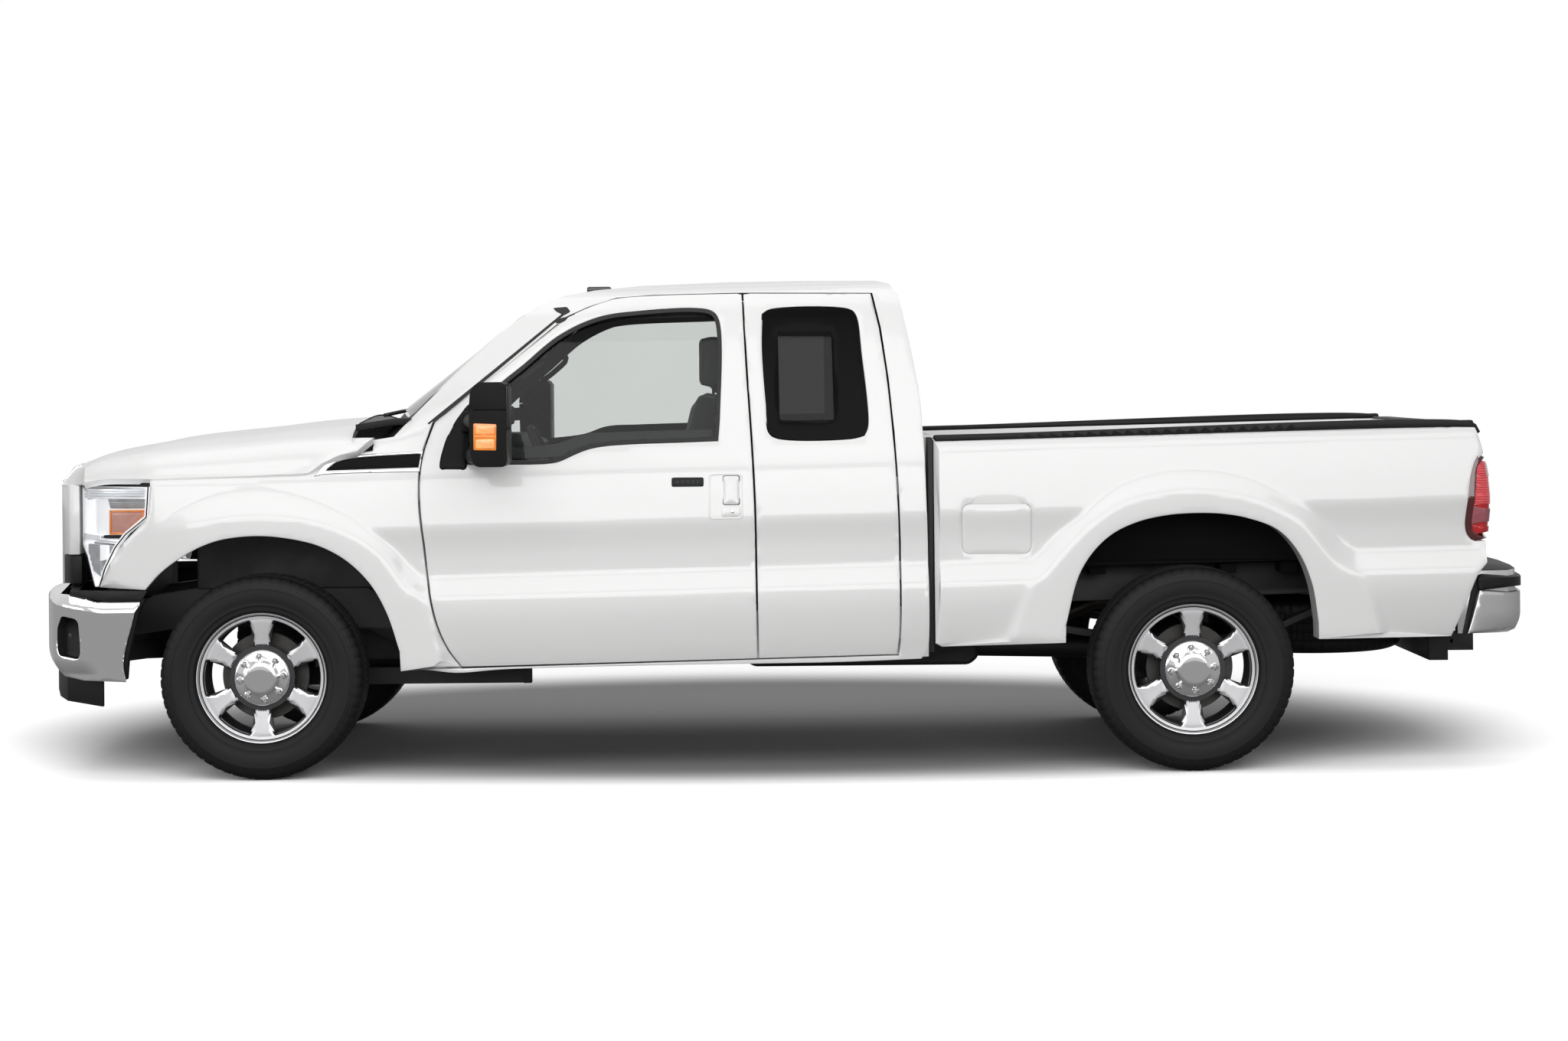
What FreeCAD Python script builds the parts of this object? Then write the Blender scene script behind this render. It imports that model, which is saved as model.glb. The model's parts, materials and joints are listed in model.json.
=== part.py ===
import FreeCAD, Part
import math
import os

os.makedirs("parts", exist_ok=True)

# Overall sizes, in millimetres. Front is -X, the driver's side is -Y, up is +Z.
wheelbase = 3602.0
front_overhang = 963.0
rear_overhang = 1338.0
body_height = 1928.0
body_width = 2029.0
mirror_span = 2640.0
wheel_zone = 900.5
zone_share = 0.25
rake_angle = 1.1
panel_gap = 8.0
trim_gap = 5.0
seat_gap = 0.3
turning_gap = 0.5
overrun = 60.0

# Wheels and tyres
tyre_radius = 396.0
tyre_width = 275.0
tyre_bead_width = 200.0
rim_lip_radius = 247.0
rim_lip_thickness = 9.0
rim_barrel_radius = 228.0
tyre_bead_radius = rim_barrel_radius + seat_gap
rim_wall = 12.0
rim_face_inset = 22.0
rim_disc_thickness = 30.0
rim_fit = 3.0
spoke_count = 6
window_inner_radius = 128.0
window_outer_radius = 214.0
spoke_width = 74.0
hub_cap_radius = 66.0
hub_cap_flange_radius = 108.0
hub_cap_length = 62.0
lug_count = 8
lug_circle_radius = 85.0
lug_radius = 11.0
lug_length = 26.0
front_wheel_setback = 147.0
rear_wheel_setback = 161.0
kingpin_offset = 132.0
brake_disc_radius = 170.0
brake_disc_thickness = 30.0
hub_radius = 62.0

# Wall and panel thicknesses
fender_thickness = 36.0
roof_thickness = 46.0
pillar_thickness = 52.0
door_thickness = 112.0
floor_thickness = 38.0
firewall_thickness = 30.0
rear_wall_thickness = 46.0
glass_thickness = 6.0
glass_inset = 14.0
windscreen_setback = 11.0
hood_thickness = 34.0
bed_wall_thickness = 92.0
bed_floor_thickness = 30.0
bed_front_wall_thickness = 42.0
rail_cap_thickness = 20.0
liner_thickness = 8.0
tailgate_thickness = 82.0
bumper_thickness = 34.0
fuel_door_thickness = 10.0
recess_depth = 26.0
mesh_thickness = 14.0
sill_step = 48.0
mirror_head_share = 0.7856
mirror_arm = 34.0
mirror_round = 14.0
front_door_lean = -0.06
rear_door_lean = 0.16
cowl_thickness = 26.0
dam_thickness = 22.0
hinge_lug_height = 70.0
hinge_lug_reach = 34.0
sail_thickness = 30.0
trunnion_radius = 11.0
trunnion_reach = 26.0

# Chassis
rail_place_share = 0.4239
frame_rail_width = 70.0
crossmember_length = 64.0
axle_tube_radius = 52.0
differential_radius = 142.0
drive_shaft_radius = 44.0
spring_leaf_width = 68.0
spring_leaf_thickness = 26.0
coil_spring_radius = 56.0
beam_height = 84.0
beam_width = 62.0
arm_height = 66.0
arm_width = 50.0
exhaust_radius = 32.0
muffler_radius = 74.0
receiver_outside = 76.0
receiver_inside = 50.8
receiver_length = 200.0
receiver_pin_diameter = 15.9
hitch_ball_hole_diameter = 26.0
plate_bolt_spacing = 177.8
plate_bolt_diameter = 7.0
spare_thickness = 222.0

# Cabin furniture
steering_wheel_radius = 193.0
steering_wheel_grip_radius = 15.0
steering_hub_radius = 62.0
steering_hub_length = 50.0
column_radius = 30.0
column_tilt = 25.0
column_length = 330.0
seat_width = 520.0
seat_back_thickness = 130.0
headrest_width = 270.0
headrest_thickness = 100.0
headrest_height = 190.0
headrest_post_radius = 7.0
headrest_post_length = 60.0
roof_lamp_length = 96.0
roof_lamp_width = 78.0
roof_lamp_height = 26.0

# Derived places
total_length = front_overhang + wheelbase + rear_overhang
front_axle_x = front_overhang - total_length / 2
rear_axle_x = front_axle_x + wheelbase
half_width = body_width / 2
rake_slope = math.tan(math.radians(rake_angle))
axle_z = tyre_radius
rail_y = half_width * rail_place_share
front_track = body_width - 2 * front_wheel_setback
rear_track = body_width - 2 * rear_wheel_setback
mirror_head_width = (mirror_span - body_width) / 2 * mirror_head_share


def station(share):
    # Along the truck: -1 to 0 is the front overhang, 0 to 1 the wheelbase, 1 to 2 the rear overhang
    # The zones beside the wheels keep their length whatever the wheelbase is
    if share < 0:
        return front_axle_x + share * front_overhang
    if share <= zone_share:
        return front_axle_x + share / zone_share * wheel_zone
    if share < 1 - zone_share:
        middle = (share - zone_share) / (1 - 2 * zone_share)
        return front_axle_x + wheel_zone + middle * (wheelbase - 2 * wheel_zone)
    if share <= 1:
        return rear_axle_x - (1 - share) / zone_share * wheel_zone
    return rear_axle_x + (share - 1) * rear_overhang


def level(share):
    return share * body_height


def side(share):
    return share * half_width


def outline(shares):
    return [(station(a), level(b)) for a, b in shares]


def plan(shares):
    return [(station(a), side(b)) for a, b in shares]


def around_wheel(shares, axle_x):
    return [(axle_x + a * tyre_radius, axle_z + b * tyre_radius) for a, b in shares]


def polygon(points):
    ring = [FreeCAD.Vector(p) for p in points]
    return Part.Face(Part.makePolygon(ring + ring[:1]))


def prism_y(points, y0, y1):
    face = polygon([(x, y0, z) for x, z in points])
    return face.extrude(FreeCAD.Vector(0, y1 - y0, 0))


def slanted_prism_y(points, y0, y1, lean):
    # A side outline whose faces lean along the truck by a share of their depth
    face = polygon([(x, y0, z) for x, z in points])
    return face.extrude(FreeCAD.Vector(lean * abs(y1 - y0), y1 - y0, 0))


def prism_z(points, z0, z1):
    face = polygon([(x, y, z0) for x, y in points])
    return face.extrude(FreeCAD.Vector(0, 0, z1 - z0))


def raked_prism(points, x0, x1):
    # A cross section given at the front axle, drawn along the raked body
    rise = (x0 - front_axle_x) * rake_slope
    face = polygon([(x0, y, z + rise) for y, z in points])
    return face.extrude(FreeCAD.Vector(x1 - x0, 0, (x1 - x0) * rake_slope))


def block(x0, x1, y0, y1, z0, z1):
    return Part.makeBox(x1 - x0, y1 - y0, z1 - z0, FreeCAD.Vector(x0, y0, z0))


def rod(start, end, radius):
    a = FreeCAD.Vector(start)
    b = FreeCAD.Vector(end)
    return Part.makeCylinder(radius, (b - a).Length, a, b - a)


def bar(start, end, width, height):
    # A straight rectangular bar between two points, its width kept level
    a = FreeCAD.Vector(start)
    b = FreeCAD.Vector(end)
    along = (b - a).normalize()
    across = along.cross(FreeCAD.Vector(0, 0, 1)).normalize()
    up = across.cross(along)
    half_across = across * (width / 2)
    half_up = up * (height / 2)
    corners = [a + half_across + half_up, a - half_across + half_up]
    corners += [a - half_across - half_up, a + half_across - half_up]
    return polygon(corners).extrude(b - a)


def mirrored(shape):
    return shape.mirror(FreeCAD.Vector(0, 0, 0), FreeCAD.Vector(0, 1, 0))


def joined(shapes):
    body = shapes[0]
    for piece in shapes[1:]:
        body = body.fuse(piece)
    return body.removeSplitter()


def save(name, shapes):
    # All solids of one node in one file
    solids = [solid for shape in shapes for solid in shape.Solids]
    Part.makeCompound(solids).exportStep("parts/" + name + ".step")


def mirrored_points(points):
    return points + [(-y, z) for y, z in reversed(points)]


# Cross sections at the front axle: across as shares of half the width, up as shares of the height
cab_side_shares = [(0.646, 0.953), (0.693, 0.923), (0.912, 0.652), (0.943, 0.617), (0.960, 0.565),
                   (0.971, 0.494), (0.956, 0.451), (0.954, 0.393), (0.986, 0.361), (0.988, 0.316),
                   (0.971, 0.259), (0.944, 0.210)]
cab_roof_shares = [(0.000, 0.985), (0.394, 0.982), (0.582, 0.969)]
fender_side_shares = [(0.912, 0.662), (0.943, 0.617), (0.960, 0.565), (0.971, 0.494), (0.956, 0.451),
                      (0.954, 0.393), (0.954, 0.210)]
bed_side_shares = [(0.925, 0.643), (0.948, 0.630), (0.962, 0.565), (0.971, 0.494), (0.956, 0.451),
                   (0.954, 0.393), (0.954, 0.210)]
floor_share = 0.311
firewall_share = 0.158
cab_back_share = 0.716

# Side outlines: along as stations, up as shares of the height
cab_roof_line_shares = [(0.122, 0.674), (0.155, 0.755), (0.278, 0.928), (0.297, 0.950), (0.322, 0.969),
                        (0.355, 0.981), (0.405, 0.991), (0.501, 0.998), (0.583, 0.999), (0.666, 0.997),
                        (0.681, 0.989), (0.690, 0.966), (0.697, 0.902), (0.709, 0.778), (0.713, 0.674),
                        (0.716, 0.467), (0.716, 0.218)]
door_front_edge_shares = [(0.186, 0.716), (0.175, 0.652), (0.172, 0.609), (0.172, 0.550), (0.176, 0.477),
                          (0.182, 0.379), (0.191, 0.305), (0.202, 0.258), (0.215, 0.224)]
door_top_shares = [(0.660, 0.966), (0.519, 0.969), (0.420, 0.966), (0.381, 0.961), (0.351, 0.943),
                   (0.328, 0.924)]
rear_door_edge_shares = [(0.682, 0.242), (0.684, 0.272), (0.685, 0.325), (0.685, 0.467), (0.683, 0.584),
                         (0.680, 0.682), (0.675, 0.795), (0.668, 0.897)]
door_split_shares = [(0.519, 0.969), (0.523, 0.821), (0.528, 0.671), (0.531, 0.547), (0.532, 0.397),
                     (0.533, 0.235)]
front_window_shares = [(0.199, 0.629), (0.308, 0.629), (0.321, 0.633), (0.337, 0.646), (0.351, 0.656),
                       (0.367, 0.662), (0.397, 0.666), (0.457, 0.669), (0.492, 0.671), (0.494, 0.726),
                       (0.493, 0.918), (0.484, 0.937), (0.398, 0.936), (0.359, 0.924), (0.318, 0.888),
                       (0.278, 0.826), (0.258, 0.796), (0.219, 0.731), (0.204, 0.690)]
rear_window_shares = [(0.546, 0.687), (0.555, 0.675), (0.637, 0.673), (0.650, 0.679), (0.654, 0.698),
                      (0.649, 0.840), (0.643, 0.926), (0.636, 0.937), (0.549, 0.938), (0.540, 0.928),
                      (0.539, 0.856), (0.543, 0.739)]
hood_shut_shares = [(-0.443, 0.602), (-0.164, 0.605), (0.015, 0.608), (0.057, 0.614), (0.070, 0.634),
                    (0.088, 0.648), (0.120, 0.658), (0.121, 0.680)]
fender_rear_top_shares = [(0.151, 0.688), (0.176, 0.704)]
headlamp_edge_shares = [(-0.443, 0.592), (-0.451, 0.531), (-0.456, 0.526), (-0.555, 0.478),
                        (-0.614, 0.437), (-0.665, 0.391)]
nose_plan_shares = [(-0.883, 0.591), (-0.831, 0.690), (-0.781, 0.789), (-0.717, 0.867), (-0.613, 0.922),
                    (-0.447, 0.961), (-0.260, 0.991), (0.010, 1.000)]
front_arch_shares = [(-1.13, -1.00), (-1.13, 0.87), (-0.98, 1.03), (-0.79, 1.17), (-0.57, 1.29),
                     (-0.35, 1.36), (0.00, 1.39), (0.35, 1.35), (0.60, 1.28), (0.85, 1.14), (1.08, 0.91),
                     (1.24, 0.62), (1.36, 0.25), (1.42, -1.00)]
rear_arch_shares = [(-1.27, -1.00), (-1.25, 0.45), (-1.12, 0.93), (-0.97, 1.17), (-0.78, 1.34),
                    (-0.54, 1.45), (-0.27, 1.51), (0.00, 1.53), (0.29, 1.52), (0.55, 1.47), (0.82, 1.36),
                    (1.02, 1.14), (1.15, 0.83), (1.21, 0.45), (1.22, -1.00)]
front_flare_low_shares = [(-1.64, 0.91), (-1.52, 1.16), (-1.37, 1.35), (-1.17, 1.53), (-0.93, 1.66),
                          (-0.64, 1.77), (-0.35, 1.82), (0.00, 1.84), (0.33, 1.81), (0.64, 1.74),
                          (0.93, 1.63), (1.15, 1.47), (1.36, 1.24), (1.45, 1.09), (1.55, 1.00)]
front_flare_high_shares = [(-1.40, 0.91), (-1.23, 1.08), (-1.03, 1.30), (-0.76, 1.47), (-0.58, 1.52),
                           (-0.40, 1.56), (-0.16, 1.59), (0.13, 1.59), (0.47, 1.55), (0.81, 1.44),
                           (1.00, 1.34), (1.18, 1.20), (1.35, 0.96), (1.45, 0.86), (1.57, 0.82)]
rear_flare_low_shares = [(-1.58, 1.09), (-1.51, 1.14), (-1.43, 1.25), (-1.26, 1.47), (-1.06, 1.66),
                         (-0.77, 1.84), (-0.29, 1.96), (0.00, 1.98), (0.32, 1.96), (0.68, 1.88),
                         (0.92, 1.78), (1.16, 1.65), (1.34, 1.43), (1.46, 1.24), (1.57, 1.17)]
rear_flare_high_shares = [(-1.53, 0.93), (-1.46, 0.95), (-1.36, 1.06), (-1.17, 1.27), (-0.97, 1.46),
                          (-0.68, 1.65), (-0.25, 1.76), (0.05, 1.77), (0.33, 1.74), (0.62, 1.67),
                          (0.86, 1.56), (1.08, 1.42), (1.26, 1.20), (1.42, 1.03), (1.57, 0.97)]
flare_base_share = 0.950
sill_line_share = 0.956
waist_share = 0.954
liner_inner_share = 0.470
flare_crown_share = 0.990
bed_outline_shares = [(0.7235, 0.669), (1.821, 0.6895), (1.837, 0.650), (1.845, 0.620), (1.847, 0.415),
                      (1.820, 0.392), (1.781, 0.326), (1.746, 0.267), (0.862, 0.262), (0.7235, 0.254)]
tail_lamp_shares = [(1.845, 0.633), (1.829, 0.623), (1.813, 0.599), (1.797, 0.545), (1.789, 0.484),
                    (1.795, 0.469), (1.814, 0.459), (1.864, 0.457), (1.868, 0.500), (1.862, 0.570)]
fuel_door_shares = [(0.753, 0.441), (0.827, 0.441), (0.827, 0.541), (0.753, 0.541)]
frame_rail_shares = [(-0.862, 0.332), (-0.363, 0.366), (0.097, 0.366), (0.164, 0.284), (0.716, 0.291),
                     (0.820, 0.397), (1.372, 0.404), (1.805, 0.365), (1.805, 0.300), (1.372, 0.336),
                     (0.834, 0.322), (0.730, 0.210), (0.180, 0.203), (0.097, 0.280), (-0.363, 0.290),
                     (-0.862, 0.254)]


screen_back_share = 0.800
screen_rows_shares = [(1.040, 0.148, 0.073, 0.660), (1.040, 0.334, 0.318, 1.010)]
screen_opening_shares = [(0.560, 0.735), (0.800, 0.724), (0.825, 0.733), (0.640, 0.905), (0.600, 0.919),
                         (0.300, 0.936)]
rear_screen_shares = [(0.700, 0.705), (0.735, 0.722), (0.620, 0.895), (0.585, 0.910)]


# Cab


def greenhouse_front(setback):
    # The block behind the bowed windscreen, between a low and a high arc
    rings = []
    for across_share, corner_share, centre_share, height_share in screen_rows_shares:
        x_corner = station(corner_share) + setback
        x_centre = station(centre_share) + setback
        x_back = station(screen_back_share)
        y = side(across_share)
        z = level(height_share)
        low = FreeCAD.Vector(x_corner, -y, z)
        high = FreeCAD.Vector(x_corner, y, z)
        arc = Part.Arc(low, FreeCAD.Vector(x_centre, 0, z), high).toShape()
        back = Part.makePolygon([high, FreeCAD.Vector(x_back, y, z), FreeCAD.Vector(x_back, -y, z), low])
        rings.append(Part.Wire([arc] + back.Edges))
    return Part.makeLoft(rings, True, True)


def screen_block():
    return block(station(0), station(screen_back_share), -half_width, half_width, level(0.675), level(1.010))


def cab_outer():
    section = mirrored_points([(side(a), level(b)) for a, b in cab_roof_shares[1:] + cab_side_shares])
    long_block = raked_prism(section, station(0.05), station(0.74))
    line = outline(cab_roof_line_shares) + [(station(firewall_share), level(0.218))]
    line += [(station(firewall_share), level(0.674))]
    shape = long_block.common(prism_y(line, -half_width, half_width))
    return shape.cut(screen_block().cut(greenhouse_front(0)))


def inner_section(side_inset, low_inset):
    # The inside face of doors and pillars, which is also the cabin's own wall
    roof = [(side(a), level(b) - roof_thickness) for a, b in cab_roof_shares[1:]]
    edge = (side(0.646) - side_inset, level(0.953) - roof_thickness)
    top = (side(0.693) - side_inset, level(0.923))
    belt = (side(0.912) - side_inset, level(0.652))
    waist = (side(0.971) - low_inset, level(0.610))
    foot = (side(0.971) - low_inset, level(floor_share))
    return mirrored_points(roof + [edge, top, belt, waist, foot])


def cavity():
    long_block = raked_prism(inner_section(pillar_thickness, door_thickness), station(0.05), station(0.74))
    x_front = station(firewall_share) + firewall_thickness
    x_rear = station(0.713) - rear_wall_thickness
    line = [(x_front, level(0.300)), (x_front, level(0.674))]
    line += [(x, z - roof_thickness) for x, z in outline(cab_roof_line_shares[1:9])]
    line += [(station(0.666) - rear_wall_thickness, level(0.997) - roof_thickness)]
    line += [(station(0.697) - rear_wall_thickness, level(0.902)), (x_rear, level(0.674))]
    line += [(x_rear, level(0.300))]
    room = long_block.common(prism_y(line, -half_width, half_width))
    return room.cut(screen_block().cut(greenhouse_front(pillar_thickness)))


def door_outline(gap):
    # The closed side outline of both doors, grown by a gap
    ring = outline(door_front_edge_shares + rear_door_edge_shares + door_top_shares)
    return grown(ring, gap)


def grown(points, gap):
    # Moves each corner of a closed outline out along its two sides' normals
    count = len(points)
    area = sum(points[i - 1][0] * points[i][1] - points[i][0] * points[i - 1][1] for i in range(count))
    turn = math.copysign(1, area)
    result = []
    for i in range(count):
        before = unit(points[i - 1], points[i])
        after = unit(points[i], points[(i + 1) % count])
        nx = turn * (before[1] + after[1])
        nz = -turn * (before[0] + after[0])
        scale = gap / (1 + before[0] * after[0] + before[1] * after[1])
        result.append((points[i][0] + nx * scale, points[i][1] + nz * scale))
    return result


def unit(a, b):
    length = math.hypot(b[0] - a[0], b[1] - a[1])
    return (b[0] - a[0]) / length, (b[1] - a[1]) / length


def side_space(points, hand):
    # A side outline drawn from the middle of the cab out past one side
    return prism_y(points, hand * side(0.5), hand * (half_width + overrun))


def fender_skin():
    # What lies within a fender's thickness of the outer side
    inner = [(side(a) - fender_thickness - seat_gap, level(b)) for a, b in fender_side_shares]
    outer = [(half_width, level(0.700)), (half_width, level(0.200))]
    return raked_prism(inner[::-1] + outer[::-1][::-1], station(-0.9), station(0.25))


def fender_ring():
    # The side outline of a front wing, from the hood line round to the headlamp
    ring = outline(hood_shut_shares + fender_rear_top_shares)
    edge = outline(door_front_edge_shares)
    ring += [(x - panel_gap, z) for x, z in edge]
    ring += [(edge[-1][0] - panel_gap, level(0.218)), (station(-0.459), level(0.218)),
             (station(-0.459), level(0.388)), (station(-0.664), level(0.388))]
    return ring + [(x + seat_gap, z) for x, z in outline(headlamp_edge_shares)[::-1][1:]]


def below_floor():
    # All that lies under the raked cabin floor, inboard of the sills
    y = side(sill_inner_share)
    z = level(floor_share) - floor_thickness
    ring = [(-y, z), (y, z), (y, level(0.150)), (-y, level(0.150))]
    return raked_prism(ring, station(0.1), station(0.75))


sill_inner_share = 0.760


def door_lugs(hand):
    # The fixed halves of the door hinges, at the front and rear pillars
    lugs = []
    for along, y_share in ((0.176, 0.880), (0.684, 0.880)):
        for height in hinge_level_shares:
            x = station(along)
            y0 = hand * side(y_share)
            y1 = hand * side(y_share + 0.030)
            lugs.append(block(x - hinge_lug_reach, x + hinge_lug_reach, min(y0, y1), max(y0, y1),
                              level(height), level(height) + hinge_lug_height))
    return [lug.cut(side_space(door_outline(seat_gap), hand)) for lug in lugs]


hinge_level_shares = (0.390, 0.560)


def cab_shell():
    shell = cab_outer().cut(cavity()).cut(below_floor())
    for hand in (-1, 1):
        shell = shell.cut(side_space(door_outline(panel_gap), hand))
        sill = raked_prism(sill_section(hand), station(0.16), station(cab_back_share))
        shell = joined([shell, sill])
        skin = fender_skin() if hand > 0 else mirrored(fender_skin())
        shell = shell.cut(skin.common(side_space(grown(fender_ring(), panel_gap / 2), hand)))
        shell = joined([shell] + door_lugs(hand))
    shell = shell.cut(screen_opening(0))
    return shell.cut(rear_screen_opening())


def sill_section(hand):
    # The sill behind the feet of the doors
    y0 = side(sill_inner_share) - overrun
    y1 = side(0.971) - sill_step - seat_gap
    z = level(floor_share) - floor_thickness
    ring = [(y0, z + floor_thickness), (y1, z + floor_thickness), (y1, level(0.215)), (side(sill_inner_share), level(0.215)),
            (side(sill_inner_share), z), (y0, z)]
    return [(hand * y, z) for y, z in ring]


def screen_opening(inset):
    ring = mirrored_points([(side(a) - inset, level(b)) for a, b in screen_opening_shares])
    face = polygon([(station(0.05), y, z) for y, z in ring])
    return face.extrude(FreeCAD.Vector(station(0.40) - station(0.05), 0, 0))


def windscreen():
    outer = greenhouse_front(glass_inset)
    inner = greenhouse_front(glass_inset + windscreen_setback)
    return outer.cut(inner).common(screen_opening(0)).common(windscreen_zone())


def windscreen_zone():
    return block(station(0.05), station(0.36), -half_width, half_width, level(0.66), level(0.99))


def rear_screen_opening():
    ring = mirrored_points([(side(a), level(b)) for a, b in rear_screen_shares])
    face = polygon([(station(0.64), y, z) for y, z in ring])
    return face.extrude(FreeCAD.Vector(station(0.74) - station(0.64), 0, 0))


def rear_glass():
    low = station(0.711) - glass_inset
    high = station(0.697) - glass_inset
    strip = [(low, level(0.700)), (high, level(0.915)), (high - glass_thickness, level(0.915)),
             (low - glass_thickness, level(0.700))]
    return prism_y(strip, -half_width, half_width).common(rear_screen_opening())


# Doors, left hand at -Y; the right hand is its mirror image


def door_inner_section():
    # The inside face of a door, stepped at its foot to pass over the sill
    top = (side(0.646) - pillar_thickness, level(0.985))
    eave = (side(0.693) - pillar_thickness, level(0.923))
    belt = (side(0.912) - pillar_thickness, level(0.652))
    waist = (side(0.971) - door_thickness, level(0.610))
    step = (side(0.971) - door_thickness, level(floor_share) + panel_gap)
    foot_top = (side(0.971) - sill_step, level(floor_share) + panel_gap)
    foot = (side(0.971) - sill_step, level(0.180))
    outer = [(half_width + overrun, level(0.180)), (half_width + overrun, level(0.985))]
    return [top, eave, belt, waist, step, foot_top, foot] + outer


def door_wall():
    # The whole side wall of the cab between the outer surface and the doors' inside
    wall = raked_prism(door_inner_section(), station(0.1), station(0.72))
    return mirrored(wall.common(cab_outer()))


def split_prism(front, lean, gap):
    # Everything in front of, or behind, the line between the two doors
    line = outline(door_split_shares)
    end = station(0.05) if front else station(0.74)
    shift = -gap if front else gap
    ring = [(end, level(1.02)), (line[0][0] + shift, level(1.02))]
    ring += [(x + shift, z) for x, z in line]
    ring += [(line[-1][0] + shift, level(0.18)), (end, level(0.18))]
    return slanted_prism_y(ring, -half_width, -side(0.5), lean)


def pane(shares, inset, thickness):
    # A plate that follows the lean of the cabin's side inside one window's outline
    eave = (side(0.693) - inset, level(0.923))
    belt = (side(0.912) - inset, level(0.652))
    slope = (belt[0] - eave[0]) / (eave[1] - belt[1])
    low = level(0.600)
    high = level(0.950)
    outer_low = belt[0] + slope * (belt[1] - low)
    outer_high = eave[0] - slope * (high - eave[1])
    ring = [(outer_low, low), (outer_high, high), (outer_high - thickness, high), (outer_low - thickness, low)]
    plate = mirrored(raked_prism(ring, station(0.1), station(0.72)))
    return plate.common(prism_y(outline(shares), -half_width, -side(0.4)))


def front_glass():
    return pane(front_window_shares, glass_inset, glass_thickness).cut(sail_zone())


def sail_zone():
    return block(station(0.1), station(sail_rear_share), -half_width, -side(0.4), level(0.5), level(0.9))


sail_rear_share = 0.226


def door(front):
    ring = door_outline(0)
    shape = door_wall().common(prism_y(ring, -half_width, -side(0.5)))
    lean = front_door_lean if front else rear_door_lean
    shape = shape.common(split_prism(front, lean, panel_gap / 2))
    shares = front_window_shares if front else rear_window_shares
    shape = shape.cut(prism_y(outline(shares), -half_width, -side(0.4)))
    return shape


def mirror():
    # The towing mirror on the driver's door: sail panel, two arms and the head
    sail = mirrored(pane(front_window_shares, 0, sail_thickness).common(sail_zone()))
    y_head = mirror_span / 2 - mirror_head_width
    parts = [sail]
    for height_share in mirror_arm_shares:
        start = (station(0.218), side(0.880), level(height_share))
        parts.append(bar(start, (station(mirror_arm_end_share), y_head + mirror_head_width / 4, level(height_share)), mirror_arm, mirror_arm))
    ring = outline(mirror_head_shares)
    head = prism_y(ring, y_head, mirror_span / 2)
    parts.append(head.makeFillet(mirror_round, head.Edges))
    return mirrored(joined(parts))


mirror_arm_shares = (0.664, 0.712)
mirror_arm_end_share = 0.238
mirror_head_shares = [(0.230, 0.640), (0.236, 0.628), (0.270, 0.629), (0.274, 0.645), (0.270, 0.780),
                      (0.262, 0.795), (0.238, 0.795), (0.231, 0.782)]


def build_doors():
    front = door(True)
    rear = door(False)
    pieces = {"front_door": front, "rear_door": rear, "front_door_glass": front_glass(),
              "rear_door_glass": pane(rear_window_shares, glass_inset, glass_thickness), "mirror": mirror()}
    for name, shape in pieces.items():
        save(name + "_left", [shape])
        save(name + "_right", [mirrored(shape)])


# Hood and front end

hood_stations_share = (-0.850, -0.447, 0.017, 0.121)
hood_front_shares = [(0.840, 0.599), (0.835, 0.620), (0.790, 0.637), (0.493, 0.645), (0.000, 0.647)]
hood_lamp_shares = [(0.931, 0.590), (0.912, 0.633), (0.838, 0.661), (0.631, 0.674), (0.000, 0.684)]
hood_middle_shares = [(0.946, 0.595), (0.929, 0.643), (0.867, 0.679), (0.690, 0.697), (0.000, 0.713)]
hood_rear_shares = [(0.944, 0.600), (0.915, 0.654), (0.848, 0.690), (0.690, 0.711), (0.000, 0.729)]


def hood_loft(inset, drop):
    rings = []
    rows = (hood_front_shares, hood_lamp_shares, hood_middle_shares, hood_rear_shares)
    for along, row in zip(hood_stations_share, rows):
        half = [(side(a) - inset, level(b) - drop) for a, b in row[:-1]]
        top = (0, level(row[-1][1]) - drop)
        ring = half + [top] + [(-y, z) for y, z in reversed(half)]
        x = station(along) + (inset if along == hood_stations_share[0] else 0)
        points = [FreeCAD.Vector(x, y, z) for y, z in ring]
        rings.append(Part.makePolygon(points + points[:1]))
    return Part.makeLoft(rings, True, True)


def hood():
    shape = hood_loft(0, 0).cut(hood_loft(hood_thickness, hood_thickness))
    line = [(x, z + panel_gap) for x, z in outline(hood_shut_shares)]
    low = [(station(-0.99), level(0.500)), (station(-0.99), line[0][1])]
    ring = low + line + [(station(0.16), line[-1][1]), (station(0.16), level(0.500))]
    shape = shape.cut(prism_y(ring, -half_width, half_width))
    ear = block(station(0.096), station(0.16), -side(0.88), side(0.88), level(0.5), level(0.8))
    return shape.cut(ear)


def nose_plan(inset):
    outer = [(x, y - inset) for x, y in plan(nose_plan_shares)]
    centre = [(station(-0.915) + inset, 0)]
    back = [(station(0.25), outer[-1][1]), (station(0.25), 0)]
    return prism_z(centre + [(x + inset, y) for x, y in outer[:3]] + outer[3:] + back, level(0.2), level(0.7))


def nose_solid(inset):
    half = nose_plan(inset)
    return half.fuse(mirrored(half)).removeSplitter()


def fender():
    # The front wing with the flare round its wheel, right hand
    inner = [(side(a) - fender_thickness, level(b)) for a, b in fender_side_shares]
    outer = [(side(a), level(b)) for a, b in fender_side_shares]
    wall = raked_prism(inner[::-1] + outer, station(-0.80), station(0.25))
    wall = joined([wall, flare(front_flare_low_shares, front_flare_high_shares, front_axle_x,
                               level(0.218))])
    shape = wall.common(prism_y(fender_ring(), 0, half_width))
    shape = shape.cut(prism_y(around_wheel(front_arch_shares, front_axle_x), 0, half_width))
    shape = shape.common(nose_plan(0))
    return joined([shape, hood_stop()])


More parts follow.
